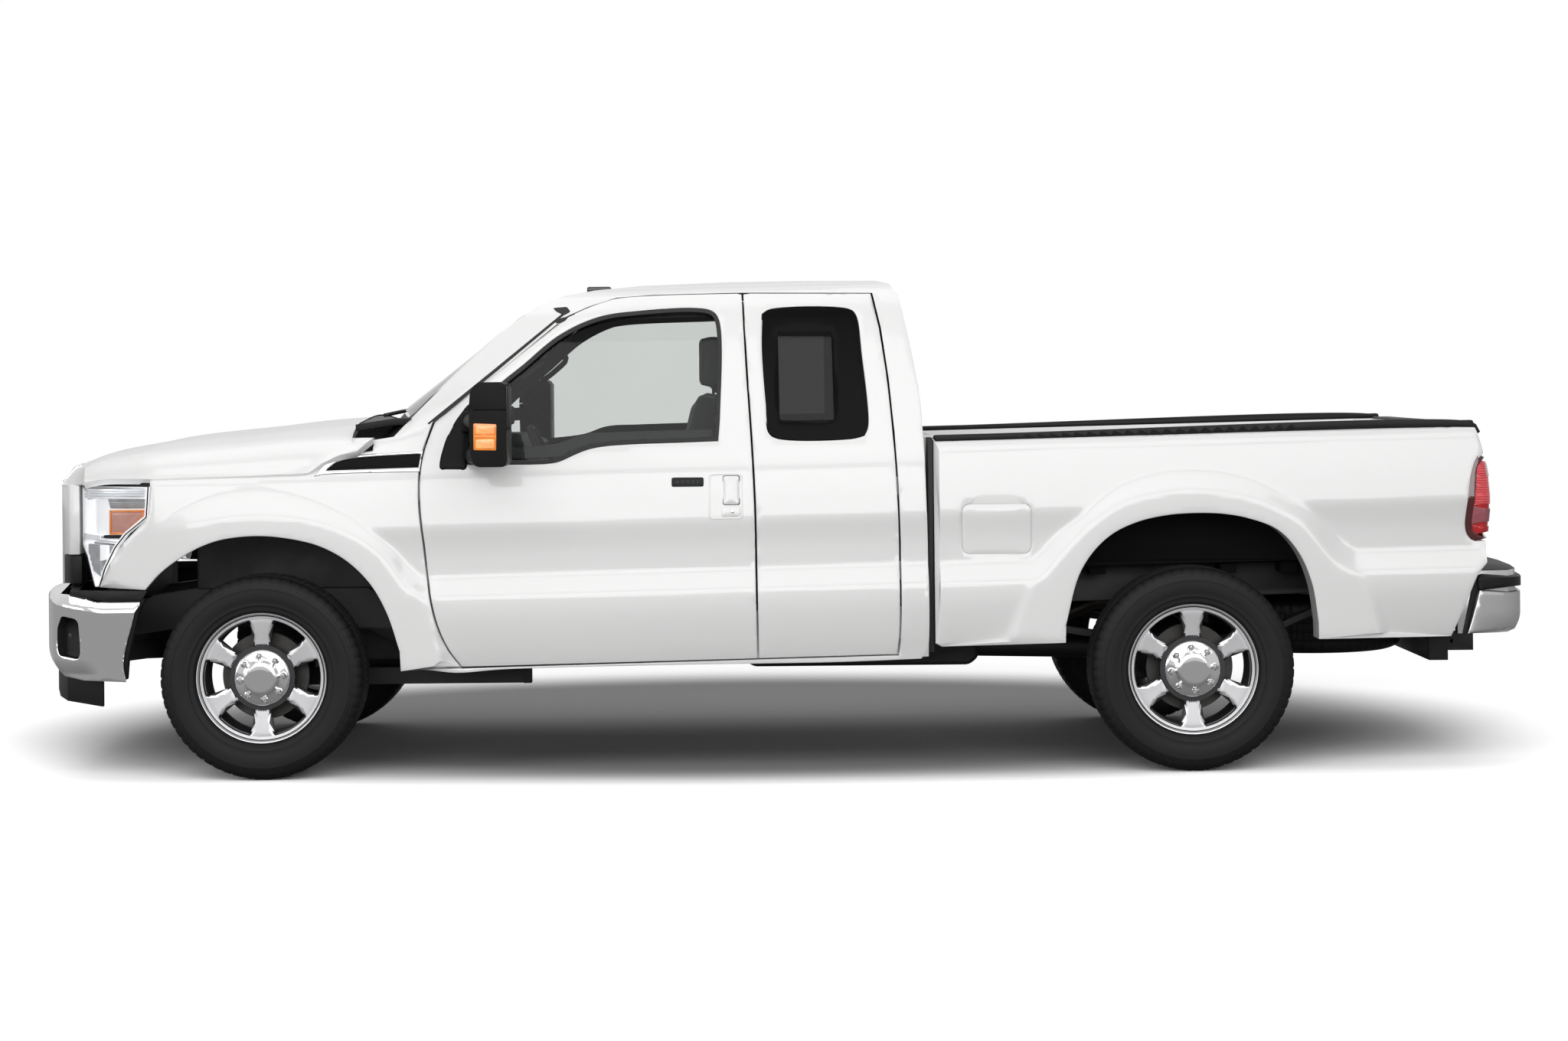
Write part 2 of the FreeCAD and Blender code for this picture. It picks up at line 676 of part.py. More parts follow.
def hood_stop():
    # A rubber stop on the wing that the closed hood rests on
    x = station(0.005)
    stop = block(x, x + stop_length, side(0.915), side(0.938), level(0.590), level(0.640))
    line = [(x, z + panel_gap - seat_gap) for x, z in outline(hood_shut_shares[:4])]
    ring = line + [(line[-1][0], level(0.700)), (line[0][0], level(0.700))]
    return stop.cut(prism_y(ring, 0, half_width))


stop_length = 40.0


def flare(low_shares, high_shares, axle_x, foot):
    # The raised lip round a wheel arch: a low outline inside, a smaller one outside
    rings = []
    for shares, across in ((low_shares, flare_base_share), (high_shares, flare_crown_share)):
        line = around_wheel(shares, axle_x)
        ring = line + [(line[-1][0], foot), (line[0][0], foot)]
        points = [FreeCAD.Vector(x, side(across), z) for x, z in ring]
        rings.append(Part.makePolygon(points + points[:1]))
    crown = Part.makeLoft(rings, True, True)
    base = around_wheel(low_shares, axle_x)
    ring = base + [(base[-1][0], foot), (base[0][0], foot)]
    backing = prism_y(ring, side(sill_line_share) - fender_thickness, side(flare_base_share))
    return joined([backing, crown])


def arch_liner(shares, axle_x, y0, y1):
    ring = around_wheel(shares, axle_x)
    inner = []
    for x, z in ring:
        reach = math.hypot(x - axle_x, z - axle_z)
        keep = (reach - liner_thickness) / reach
        inner.append((axle_x + (x - axle_x) * keep, axle_z + (z - axle_z) * keep))
    return prism_y(ring + inner[::-1], y0, y1)


front_liner_shares = [(-1.10, 1.12), (-0.80, 1.27), (-0.40, 1.42), (0.00, 1.46), (0.40, 1.42), (0.80, 1.27),
                      (1.15, 1.00), (1.34, 0.60), (1.39, 0.25)]


def headlamp():
    line = outline(headlamp_edge_shares)
    front = station(-0.92)
    ring = line + [(station(-0.717), level(0.388)), (front, level(0.388)), (front, level(0.592))]
    shape = nose_plan(0).common(prism_y(ring, side(lamp_inner_share), half_width))
    return shape.cut(block(station(-0.30), station(0.3), 0, half_width, 0, body_height))


lamp_inner_share = 0.592


def grille_shapes():
    # A wide frame with a middle bar and uprights, and a dark mesh plate behind it
    shape = nose_solid(0).common(prism_y(outline([(-0.99, 0.386), (-0.80, 0.386), (-0.80, 0.634),
                                                  (-0.83, 0.628), (-0.87, 0.600), (-0.99, 0.600)]),
                                         -side(grille_half_share), side(grille_half_share)))
    openings = []
    for y0, y1 in grille_column_shares:
        for z0, z1 in grille_row_shares:
            openings.append(block(station(-0.99), station(-0.79), side(y0), side(y1), level(z0), level(z1)))
            openings.append(mirrored(openings[-1]))
    for opening in openings:
        shape = shape.cut(opening)
    x = station(-0.81)
    mesh = block(x, x + mesh_thickness, -side(grille_half_share), side(grille_half_share), level(0.392),
                 level(0.592))
    return shape.cut(block(x, station(-0.5), -half_width, half_width, level(0.390), level(0.594))), mesh


grille_half_share = 0.585
grille_column_shares = [(0.030, 0.270), (0.310, 0.540)]
grille_row_shares = [(0.405, 0.475), (0.515, 0.580)]


def bumper_ring(inset):
    # Half of the bumper's plan, drawn in by an inset
    outer = plan(bumper_plan_shares)
    ring = [(station(-1) + inset, 0)] + [(x + inset, y) for x, y in outer[:4]]
    ring += [(x + inset * bumper_corner_share, y - inset) for x, y in outer[4:]]
    return ring + [(station(-0.400), outer[-1][1] - inset), (station(-0.400), 0)]


def front_bumper():
    half = prism_z(bumper_ring(0), level(0.150), level(0.400))
    half = half.cut(prism_z(bumper_ring(bumper_thickness), level(0.100), level(0.374)))
    half = half.cut(block(station(-0.830), station(0), -overrun, side(0.840), level(0.1), level(0.5)))
    shape = half.fuse(mirrored(half)).removeSplitter()
    shape = shape.common(prism_y(outline(bumper_side_shares), -half_width, half_width))
    slot = block(station(-1.05), station(-0.930), -side(0.330), side(0.330), level(0.230), level(0.275))
    pieces = [shape.cut(slot)]
    for hand in (-1, 1):
        y = hand * rail_y
        pieces.append(block(station(-0.950), station(rail_front_share), y - frame_rail_width / 2,
                            y + frame_rail_width / 2, level(0.262), level(0.325)))
        lamp_y = hand * side(0.760)
        lamp = block(station(-1.05), station(-0.840), lamp_y - fog_lamp_half, lamp_y + fog_lamp_half,
                     level(0.265), level(0.325))
        pieces[0] = pieces[0].cut(lamp)
    return joined(pieces)


bumper_corner_share = 0.8
fog_lamp_half = 62.0
rail_front_share = -0.862
bumper_plan_shares = [(-0.998, 0.200), (-0.982, 0.400), (-0.938, 0.590), (-0.883, 0.790), (-0.820, 0.936),
                      (-0.640, 0.986)]
bumper_side_shares = [(-1.010, 0.381), (-0.459, 0.382), (-0.464, 0.367), (-0.493, 0.341), (-0.514, 0.304),
                      (-0.539, 0.255), (-0.548, 0.204), (-0.717, 0.205), (-1.010, 0.215)]


def fog_lamps():
    # Round lamps set into the bumper's pockets
    pieces = []
    for hand in (-1, 1):
        y = hand * side(0.760)
        pieces.append(block(station(-0.870), station(-0.845), y - fog_lamp_half, y + fog_lamp_half,
                            level(0.265), level(0.325)))
    return pieces


def air_dam():
    outer = bumper_ring(bumper_thickness + seat_gap)
    inner = bumper_ring(bumper_thickness + dam_thickness)
    half = prism_z(outer, level(0.150), level(0.260)).cut(prism_z(inner, level(0.1), level(0.3)))
    half = half.cut(block(station(-0.640), station(0), -overrun, half_width, 0, level(0.5)))
    half = half.cut(block(station(-1.05), station(-0.930), -overrun, side(0.330), level(0.230), level(0.275)))
    ring = outline([(-1.010, 0.175), (-0.640, 0.150), (-0.640, 0.260), (-1.010, 0.260)])
    dam = half.fuse(mirrored(half)).removeSplitter()
    return dam.common(prism_y(ring, -half_width, half_width))


def cowl():
    ring = outline([(0.100, 0.711), (0.139, 0.722), (0.200, 0.724)])
    ring += [(x, z - cowl_thickness) for x, z in ring[::-1]]
    shape = prism_y(ring, -side(0.870), side(0.870))
    return shape.cut(greenhouse_front(-seat_gap)).cut(cab_outer())


def build_front():
    hood_shape = hood().cut(block(station(-0.99), station(-0.80), -side(grille_half_share) - trim_gap,
                                  side(grille_half_share) + trim_gap, level(0.3), level(0.636)))
    save("hood", [hood_shape])
    frame, mesh = grille_shapes()
    save("grille", [frame.cut(hood_shape)])
    save("grille_mesh", [mesh])
    save("front_fenders", [fender(), mirrored(fender())])
    lamp = headlamp()
    save("headlamps", [lamp, mirrored(lamp)])
    liner = arch_liner(front_liner_shares, front_axle_x, side(liner_inner_share),
                       side(waist_share) - fender_thickness - seat_gap)
    save("wheel_liners", [liner, mirrored(liner)])
    save("front_bumper", [front_bumper()])
    save("fog_lamps", fog_lamps())
    save("air_dam", [air_dam()])
    save("cowl_panel", [cowl()])


rear_liner_shares = [(-1.30, 1.02), (-1.00, 1.35), (-0.55, 1.60), (0.00, 1.68), (0.55, 1.60), (1.00, 1.35),
                     (1.30, 1.02)]


# Bed


def bed_side():
    # The hollow side wall as one thick panel, right hand
    outer = [(side(a), level(b)) for a, b in bed_side_shares]
    inner_y = side(sill_line_share) - bed_wall_thickness
    ring = outer + [(inner_y, outer[-1][1]), (inner_y, outer[0][1])]
    post_y = gate_half() + panel_gap
    post_ring = outer + [(post_y, outer[-1][1]), (post_y, outer[0][1])]
    wall = joined([raked_prism(ring, station(0.72), station(1.90)),
                   raked_prism(post_ring, station(post_share), station(1.90))])
    wall = joined([wall, flare(rear_flare_low_shares, rear_flare_high_shares, rear_axle_x, level(0.262))])
    wall = wall.common(prism_y(outline(bed_outline_shares), 0, half_width))
    wall = wall.cut(prism_y(around_wheel(rear_arch_shares, rear_axle_x), 0, half_width))
    wall = wall.cut(prism_y(tail_lamp_ring(seat_gap), 0, half_width))
    wall = wall.cut(block(station(1.786), station(1.90), 0, gate_half() + panel_gap, 0, body_height))
    start = (gate_axis()[0], 0, gate_axis()[1])
    end = (gate_axis()[0], gate_half() + panel_gap + trunnion_reach, gate_axis()[1])
    return wall.cut(rod(start, end, trunnion_radius + seat_gap))


def gate_axis():
    # Where the tailgate turns, low in its thickness
    return station(1.846) - gate_axis_setback, level(gate_axis_share)


gate_axis_setback = 36.0
gate_axis_share = 0.424


def tail_lamp_ring(gap):
    return grown(outline(tail_lamp_shares), gap)


def gate_half():
    return side(gate_half_share)


gate_half_share = 0.790


def tail_lamp():
    outer = [(side(a), level(b)) for a, b in bed_side_shares]
    ring = outer + [(gate_half() + panel_gap, outer[-1][1]), (gate_half() + panel_gap, outer[0][1])]
    wall = raked_prism(ring, station(1.75), station(1.90))
    return wall.common(prism_y(tail_lamp_ring(0), 0, half_width))


def fuel_pocket(gap, depth):
    ring = grown(outline(fuel_door_shares), gap)
    return prism_y(ring, -half_width, -side(0.954) + depth)


def fuel_lug():
    # The fixed half of the fuel door's hinge, on the floor of its pocket
    x = station(0.753) + trim_gap
    lug = block(x, x + hinge_lug_reach, -side(0.954), -side(0.954) + recess_depth + overrun, level(0.470),
                level(0.510))
    return lug.cut(fuel_door_space())


def fuel_door_space():
    outer = [(half_width, level(0.700)), (half_width, level(0.200))]
    inner = [(side(a) - fuel_door_thickness - seat_gap, level(b)) for a, b in bed_side_shares]
    return mirrored(raked_prism(inner + outer[::-1], station(0.74), station(0.85)))


def fuel_door():
    outer = [(side(a), level(b)) for a, b in bed_side_shares]
    inner = [(y - fuel_door_thickness, z) for y, z in outer]
    skin = mirrored(raked_prism(outer + inner[::-1], station(0.74), station(0.85)))
    return skin.common(fuel_pocket(-trim_gap, overrun))


def bed_floor():
    x0 = station(bed_front_share)
    x1 = station(bed_floor_end_share)
    y = side(sill_line_share) - bed_wall_thickness
    ring = [(-y, level(bed_floor_share)), (y, level(bed_floor_share)),
            (y, level(bed_floor_share) - bed_floor_thickness),
            (-y, level(bed_floor_share) - bed_floor_thickness)]
    floor = raked_prism(ring, x0, x1)
    for hand in (-1, 1):
        near = hand * (gate_half() + panel_gap)
        floor = floor.cut(block(station(post_share), x1 + overrun, min(near, hand * half_width),
                                max(near, hand * half_width), 0, body_height))
    ring = [(-y, level(bed_floor_share)), (y, level(bed_floor_share)), (y, level(0.643)), (-y, level(0.643))]
    wall = raked_prism(ring, x0, x0 + bed_front_wall_thickness)
    shape = joined([floor, wall] + bed_sills())
    for hand in (1, -1):
        hole = prism_y(around_wheel(rear_liner_shares + [(1.30, 0.5), (-1.30, 0.5)], rear_axle_x),
                       side(0.640) * hand, y * hand)
        shape = shape.cut(hole)
        shell = arch_liner(rear_liner_shares, rear_axle_x, side(0.640) * hand, y * hand)
        cheek = prism_y(around_wheel(rear_liner_shares, rear_axle_x), side(0.640) * hand,
                        (side(0.640) + liner_thickness) * hand)
        shape = joined([shape, shell, cheek])
    return shape


bed_front_share = 0.7235
bed_floor_end_share = 1.779
post_share = 1.735
bed_floor_share = 0.386


def bed_sills():
    # Cross sills that carry the floor on the frame rails
    sills = []
    for along in bed_sill_shares:
        x = station(along)
        z = level(bed_floor_share) + (x - front_axle_x) * rake_slope - bed_floor_thickness
        sill = block(x, x + crossmember_length, -side(0.600), side(0.600), level(0.385), z + bed_floor_thickness / 2)
        sills.append(sill.cut(rail_bars()))
    return sills


bed_sill_shares = (0.760, 0.900, 1.120, 1.300)


def rail_cap():
    ring = [(side(0.880), level(0.643)), (side(0.930), level(0.643)), (side(0.930), level(0.643) + rail_cap_thickness),
            (side(0.880), level(0.643) + rail_cap_thickness)]
    return raked_prism(ring, station(bed_front_share), station(1.820))


def tailgate():
    x1 = station(1.846)
    ring = [(x1 - tailgate_thickness, level(0.416)), (x1, level(0.416)), (x1, level(0.640)),
            (x1 - trim_gap, level(0.689)), (x1 - tailgate_thickness, level(0.689))]
    gate = prism_y(ring, -gate_half(), gate_half())
    reach = gate_half() + panel_gap + trunnion_reach - trim_gap
    x, z = gate_axis()
    gate = joined([gate, rod((x, -reach, z), (x, reach, z), trunnion_radius)])
    recess = block(x1 - recess_depth, x1 + overrun, -side(0.110), side(0.110), level(0.560), level(0.620))
    return gate.cut(recess)


def rear_bumper():
    ring = plan(rear_bumper_plan_shares)
    half_outer = prism_z([(station(1.775), 0)] + [(station(1.775), ring[0][1])] + ring + [(ring[-1][0], 0)],
                         level(0.255), level(0.398))
    inner_ring = [(x - bumper_thickness, y - bumper_thickness) for x, y in ring]
    inner_ring[0] = (station(1.76), inner_ring[0][1])
    inner = prism_z([(station(1.76), 0)] + inner_ring + [(inner_ring[-1][0], 0)], level(0.200),
                    level(0.398) - bumper_thickness)
    half = half_outer.cut(inner)
    shape = half.fuse(mirrored(half)).removeSplitter()
    shape = shape.common(prism_y(outline(rear_bumper_side_shares), -half_width, half_width))
    shape = shape.cut(block(station(1.90), station(2.10), -side(0.250), side(0.250), level(0.200), level(0.262)))
    hole = Part.makeCylinder(hitch_ball_hole_diameter / 2, level(0.5),
                             FreeCAD.Vector(station(1.955), 0, level(0.2)))
    shape = shape.cut(hole)
    for hand in (-1, 1):
        start = (station(1.90), hand * plate_bolt_spacing / 2, level(0.330))
        shape = shape.cut(rod(start, (station(2.1), hand * plate_bolt_spacing / 2, level(0.330)),
                              plate_bolt_diameter / 2))
        y = hand * rail_y
        bracket = block(station(rail_rear_share), station(1.960), y - frame_rail_width / 2,
                        y + frame_rail_width / 2, level(0.318), level(0.385))
        shape = joined([shape, bracket])
    return shape


rear_bumper_plan_shares = [(1.800, 0.935), (1.930, 0.900), (1.968, 0.800), (1.990, 0.600), (2.000, 0.300)]
rear_bumper_side_shares = [(1.757, 0.270), (1.791, 0.326), (1.826, 0.385), (1.841, 0.398), (2.010, 0.398),
                           (2.010, 0.275), (1.895, 0.271)]


def build_bed():
    wall = bed_side()
    left = mirrored(wall).cut(fuel_pocket(0, recess_depth))
    left = joined([left, fuel_lug()])
    save("bed_sides", [wall, left])
    save("bed_floor", [bed_floor()])
    save("rail_caps", [rail_cap(), mirrored(rail_cap())])
    save("tail_lamps", [tail_lamp(), mirrored(tail_lamp())])
    save("fuel_door", [fuel_door()])
    save("tailgate", [tailgate()])
    save("rear_bumper", [rear_bumper()])


# Chassis


def rail_bars():
    rail = prism_y(outline(frame_rail_shares), rail_y - frame_rail_width / 2, rail_y + frame_rail_width / 2)
    return Part.makeCompound([rail, mirrored(rail)])


def frame_rails():
    y = rail_y - frame_rail_width / 2
    members = []
    for along, low, high in crossmember_shares:
        x = station(along)
        members.append(block(x, x + crossmember_length, -y, y, level(low), level(high)))
    z_spare = level(spare_height_share) + spare_thickness / 2 + seat_gap
    x_spare = station(spare_place_share) - crossmember_length / 2
    members.append(block(x_spare, x_spare + crossmember_length, -y, y, z_spare, level(0.350)))
    shape = joined(rail_bars().Solids + members + receiver_mount() + axle_brackets() + spring_hangers() + body_pads())
    bore = receiver_inside / 2
    z = level(receiver_height_share)
    x_end = station(receiver_end_share)
    shape = shape.cut(block(x_end - receiver_length, x_end + overrun, -bore, bore, z - bore, z + bore))
    pin_x = x_end - receiver_pin_setback
    return shape.cut(rod((pin_x, -receiver_outside, z), (pin_x, receiver_outside, z), receiver_pin_diameter / 2))


def receiver_mount():
    # The hitch receiver, its cross tube and two hangers from the rails
    z = level(receiver_height_share)
    x_tube = station(receiver_end_share) - receiver_length
    half = receiver_outside / 2
    tube = block(x_tube, station(receiver_end_share), -half, half, z - half, z + half)
    cross = block(x_tube - receiver_outside, x_tube, -rail_y, rail_y, z - half, z + half)
    pieces = [tube, cross]
    for hand in (-1, 1):
        y = hand * rail_y
        pieces.append(block(x_tube - receiver_outside, x_tube, y - frame_rail_width / 2,
                            y + frame_rail_width / 2, z - half, level(0.315)))
    return pieces


def axle_brackets():
    # The carrier under the engine, the beam pivots' brackets and the radius arms' brackets
    y = rail_y - frame_rail_width / 2
    reach = carrier_half_length
    pieces = [block(front_axle_x - reach, front_axle_x + reach, -y, y, level(0.216), level(engine_low_share))]
    for hand in (-1, 1):
        x, pivot_y, z = beam_pivot(hand)
        x_end = x + hand * (beam_width * 0.6 + seat_gap)
        x_out = front_axle_x + hand * reach
        pieces.append(block(min(x_end, x_out), max(x_end, x_out), pivot_y - beam_height / 2,
                            pivot_y + beam_height / 2, z - beam_height / 2, level(0.220)))
        arm_x = station(arm_end_share) + seat_gap
        arm_y = hand * side(arm_place_share)
        pieces.append(block(arm_x, arm_x + crossmember_length / 2, arm_y - arm_width / 2, arm_y + arm_width / 2,
                            level(0.164), level(0.225)))
    return pieces


def spring_hangers():
    # The brackets on the rails that hold the ends of the leaf springs
    line = leaf_line()
    pieces = []
    for hand in (-1, 1):
        near = hand * rail_y
        far = hand * (side(spring_place_share) + spring_leaf_width / 2)
        for x0, x1, z in ((line[0][0] - hanger_length, line[0][0] - seat_gap, line[0][1]),
                          (line[-1][0] + seat_gap, line[-1][0] + hanger_length, line[-1][1])):
            pieces.append(block(x0, x1, min(near, far), max(near, far), z - hanger_height / 2,
                                z + hanger_height / 2))
    return pieces


hanger_length = 26.0
hanger_height = 90.0
carrier_half_length = 100.0
engine_low_share = 0.292
arm_end_share = 0.270
arm_place_share = 0.435


def body_pads():
    # Rubber pads between the rails and the raked cabin floor
    z_floor = level(floor_share) - floor_thickness - seat_gap
    ring = [(-half_width, z_floor), (half_width, z_floor), (half_width, level(0.5)), (-half_width, level(0.5))]
    above = raked_prism(ring, station(0.1), station(0.75))
    pads = []
    for along in (0.195, 0.430, 0.660):
        for hand in (-1, 1):
            pad = rod((station(along), hand * rail_y, level(0.280)), (station(along), hand * rail_y, level(0.330)),
                      body_pad_radius)
            pads.append(pad.cut(above))
    return pads


body_pad_radius = 33.0
crossmember_shares = [(-0.840, 0.265, 0.320), (0.330, 0.264, 0.282), (0.500, 0.264, 0.284),
                      (0.800, 0.330, 0.385), (1.000, 0.345, 0.390), (1.700, 0.320, 0.362)]
receiver_height_share = 0.214
receiver_end_share = 1.968
receiver_pin_setback = 90.0
rail_rear_share = 1.805


def engine():
    motor = block(station(-0.390), station(0.118), -side(engine_half_share), side(engine_half_share),
                  level(engine_low_share), level(0.590))
    gearbox = block(station(0.060), station(0.315), -side(0.150), side(0.150), level(0.200),
                    level(engine_low_share))
    return joined([motor, gearbox])


engine_half_share = 0.270


def drive_shaft():
    start = (station(0.315) + shaft_end_gap, 0, level(0.232))
    return rod(start, (rear_axle_x - differential_radius - turning_gap, 0, axle_z), drive_shaft_radius)


shaft_end_gap = 1.4


def exhaust():
    points = [(station(a), side(b), level(c)) for a, b, c in exhaust_shares]
    pieces = []
    for start, end in zip(points, points[1:]):
        pieces.append(rod(start, end, exhaust_radius))
    for point in points[1:-1]:
        pieces.append(Part.makeSphere(exhaust_radius, FreeCAD.Vector(point)))
    start = (station(0.530), side(0.235), level(0.224))
    end = (station(0.660), side(0.235), level(0.224))
    pieces.append(rod(start, end, muffler_radius))
    return joined(pieces)


exhaust_shares = [(0.080, engine_half_share, 0.320), (0.080, 0.325, 0.320), (0.130, 0.325, 0.224),
                  (0.300, 0.325, 0.224), (0.400, 0.235, 0.224), (0.840, 0.235, 0.224),
                  (0.930, 0.250, 0.296), (1.050, 0.250, 0.296), (1.330, 0.560, 0.216), (1.560, 0.760, 0.216)]


def fuel_tank():
    ring = outline([(0.527, 0.190), (0.770, 0.190), (0.780, 0.205), (0.780, 0.262), (0.770, 0.272),
                    (0.527, 0.272), (0.517, 0.262), (0.517, 0.205)])
    return prism_y(ring, -(rail_y - frame_rail_width / 2), -side(0.090))


def radiator():
    core = block(station(-0.700), station(-0.640), -side(0.580), side(0.580), level(0.340), level(0.585))
    return core.cut(rail_bars())


def beam_pivot(hand):
    # Where one front beam swings, past the truck's middle
    return (front_axle_x + hand * beam_width * 0.75, -hand * side(0.180), axle_z - beam_height * 0.6)


def front_suspension():
    # Twin beams, radius arms and coil springs
    pieces = []
    for hand in (-1, 1):
        kingpin_y = hand * kingpin_reach()
        inner = beam_pivot(hand)
        outer = (front_axle_x, kingpin_y - hand * (kingpin_radius + kingpin_gap), axle_z - beam_height * 0.2)
        beam = bar(inner, outer, beam_width, beam_height)
        reach = beam_width * 0.6
        pivot = rod((inner[0] - reach, inner[1], inner[2]), (inner[0] + reach, inner[1], inner[2]), beam_height / 2)
        y = hand * side(arm_place_share)
        arm = bar((front_axle_x, y, axle_z - beam_height * 0.54), (station(arm_end_share), y, level(0.182)),
                  arm_width, arm_height)
        spring_y = hand * side(0.530)
        spring = rod((front_axle_x, spring_y, axle_z), (front_axle_x, spring_y, level(0.345)), coil_spring_radius)
        near = hand * (rail_y + frame_rail_width / 2)
        far = hand * side(0.590)
        tower = block(front_axle_x - coil_spring_radius, front_axle_x + coil_spring_radius, min(near, far),
                      max(near, far), level(0.345), level(0.362))
        pieces.append(joined([beam, pivot, arm, spring, tower]))
    return pieces


kingpin_radius = 28.0
kingpin_gap = 2.4


def kingpin_reach():
    return front_track / 2 - kingpin_offset


def rear_suspension():
    inner_y = hub_back(rear_track) - turning_gap
    tube = rod((rear_axle_x, -inner_y, axle_z), (rear_axle_x, inner_y, axle_z), axle_tube_radius)
    ball = Part.makeSphere(differential_radius, FreeCAD.Vector(rear_axle_x, 0, axle_z))
    shape = joined([tube, ball])
    for hand in (-1, 1):
        y0 = hand * side(spring_place_share) - spring_leaf_width / 2
        line = leaf_line()
        ring = line + [(x, z - spring_leaf_thickness) for x, z in line[::-1]]
        leaf = prism_y(ring, y0, y0 + spring_leaf_width)
        perch = block(rear_axle_x - axle_tube_radius, rear_axle_x + axle_tube_radius, y0,
                      y0 + spring_leaf_width, axle_z, line[3][1] - spring_leaf_thickness / 2)
        shape = joined([shape, leaf, perch])
    return shape


def leaf_line():
    # The top of a leaf spring, its height shared out between the axle tube and the rail
    low = axle_z + axle_tube_radius
    high = level(rail_over_spring_share)
    return [(station(a), low + b * (high - low)) for a, b in leaf_shares]


rail_over_spring_share = 0.336
spring_place_share = 0.555
leaf_shares = [(0.825, 0.653), (0.880, 0.421), (0.940, 0.247), (1.000, 0.190), (1.140, 0.247),
               (1.280, 0.421), (1.420, 0.826)]


# Wheels


def revolve_ring(profile, centre):
    # A (radius, across) profile turned about the wheel's own axle
    points = [FreeCAD.Vector(centre[0], centre[1] + y, centre[2] + r) for r, y in profile]
    face = Part.Face(Part.makePolygon(points + points[:1]))
    return face.revolve(FreeCAD.Vector(centre), FreeCAD.Vector(0, 1, 0), 360)


def tyre(centre, width):
    half = width / 2
    bead = tyre_bead_width / 2 * width / tyre_width
    rise = tyre_radius - tyre_bead_radius
    profile = [(tyre_bead_radius, -bead), (tyre_bead_radius, bead), (tyre_bead_radius + rise * 0.15, bead),
               (tyre_bead_radius + rise * 0.50, half), (tyre_bead_radius + rise * 0.80, half * 0.97),
               (tyre_radius - rise * 0.04, half * 0.84), (tyre_radius, half * 0.70), (tyre_radius, -half * 0.70),
               (tyre_radius - rise * 0.04, -half * 0.84), (tyre_bead_radius + rise * 0.80, -half * 0.97),
               (tyre_bead_radius + rise * 0.50, -half), (tyre_bead_radius + rise * 0.15, -bead)]
    return revolve_ring(profile, centre)


def rim(centre, hand):
    # Barrel with two lips, a six-spoke face, nuts and the centre cap; hand is +1 on the right
    lip = tyre_bead_width / 2 + rim_fit
    edge = lip + rim_lip_thickness
    profile = [(rim_barrel_radius, -lip), (rim_barrel_radius, lip), (rim_lip_radius, lip), (rim_lip_radius, edge),
               (rim_barrel_radius - rim_wall, edge), (rim_barrel_radius - rim_wall, -edge),
               (rim_lip_radius, -edge), (rim_lip_radius, -lip)]
    barrel = revolve_ring(profile, centre)
    face_y = hand * (edge - rim_face_inset)
    back_y = face_y - hand * rim_disc_thickness
    disc = rod((centre[0], centre[1] + back_y, centre[2]), (centre[0], centre[1] + face_y, centre[2]),
               rim_barrel_radius - rim_wall / 2)
    for i in range(spoke_count):
        disc = disc.cut(wheel_window(centre, centre[1] + back_y - hand * overrun,
                                     centre[1] + face_y + hand * overrun, 360.0 * i / spoke_count))
    flange = rod((centre[0], centre[1] + face_y, centre[2]),
                 (centre[0], centre[1] + face_y + hand * rim_lip_thickness, centre[2]), hub_cap_flange_radius)
    cap = rod((centre[0], centre[1] + face_y, centre[2]),
              (centre[0], centre[1] + face_y + hand * hub_cap_length, centre[2]), hub_cap_radius)
    nuts = []
    for i in range(lug_count):
        angle = math.radians(360.0 * (i + 0.5) / lug_count)
        x = centre[0] + lug_circle_radius * math.cos(angle)
        z = centre[2] + lug_circle_radius * math.sin(angle)
        nuts.append(rod((x, centre[1] + face_y, z), (x, centre[1] + face_y + hand * lug_length, z), lug_radius))
    return joined([barrel, disc, flange, cap] + nuts)


def wheel_window(centre, y0, y1, angle):
    # The gap between two spokes, wider towards the rim
    half_low = window_inner_radius * math.tan(math.pi / spoke_count) - spoke_width / 2
    half_high = window_outer_radius * math.tan(math.pi / spoke_count) - spoke_width * 0.62
    high = window_outer_radius * 0.90
    ring = [(window_inner_radius, -half_low), (high, -half_high), (window_outer_radius * 0.975, -half_high / 2),
            (window_outer_radius * 0.975, half_high / 2), (high, half_high), (window_inner_radius, half_low)]
    points = []
    for out, across in ring:
        points.append((centre[0] + out, centre[2] + across))
    shape = prism_y(points, y0, y1)
    return shape.rotate(FreeCAD.Vector(centre[0], 0, centre[2]), FreeCAD.Vector(0, 1, 0), angle)


def hub_face(track):
    # Where the brake disc and hub meet the back of a wheel's face, from the truck's middle
    return track / 2 + tyre_bead_width / 2 + rim_fit + rim_lip_thickness - rim_face_inset - rim_disc_thickness


def hub_back(track):
    return track / 2 - tyre_bead_width * 0.32


def brake(centre_x, track, hand):
    # Hub and brake disc, turning with the wheel
    outer = hand * hub_face(track)
    inner = hand * hub_back(track)
    hub = rod((centre_x, inner, axle_z), (centre_x, outer, axle_z), hub_radius)
    disc_in = hand * (track / 2)
    disc = rod((centre_x, disc_in, axle_z), (centre_x, disc_in - hand * brake_disc_thickness, axle_z),
               brake_disc_radius)
    return joined([hub, disc])


def knuckle(hand):
    # The upright that carries a front wheel and turns on the kingpin
    pin_y = hand * kingpin_reach()
    pin = rod((front_axle_x, pin_y, axle_z - beam_height * 1.3), (front_axle_x, pin_y, axle_z + beam_height * 1.3),
              kingpin_radius)
    end = hand * (hub_back(front_track) - turning_gap)
    spindle = rod((front_axle_x, pin_y, axle_z), (front_axle_x, end, axle_z), hub_radius * 0.8)
    return joined([pin, spindle])


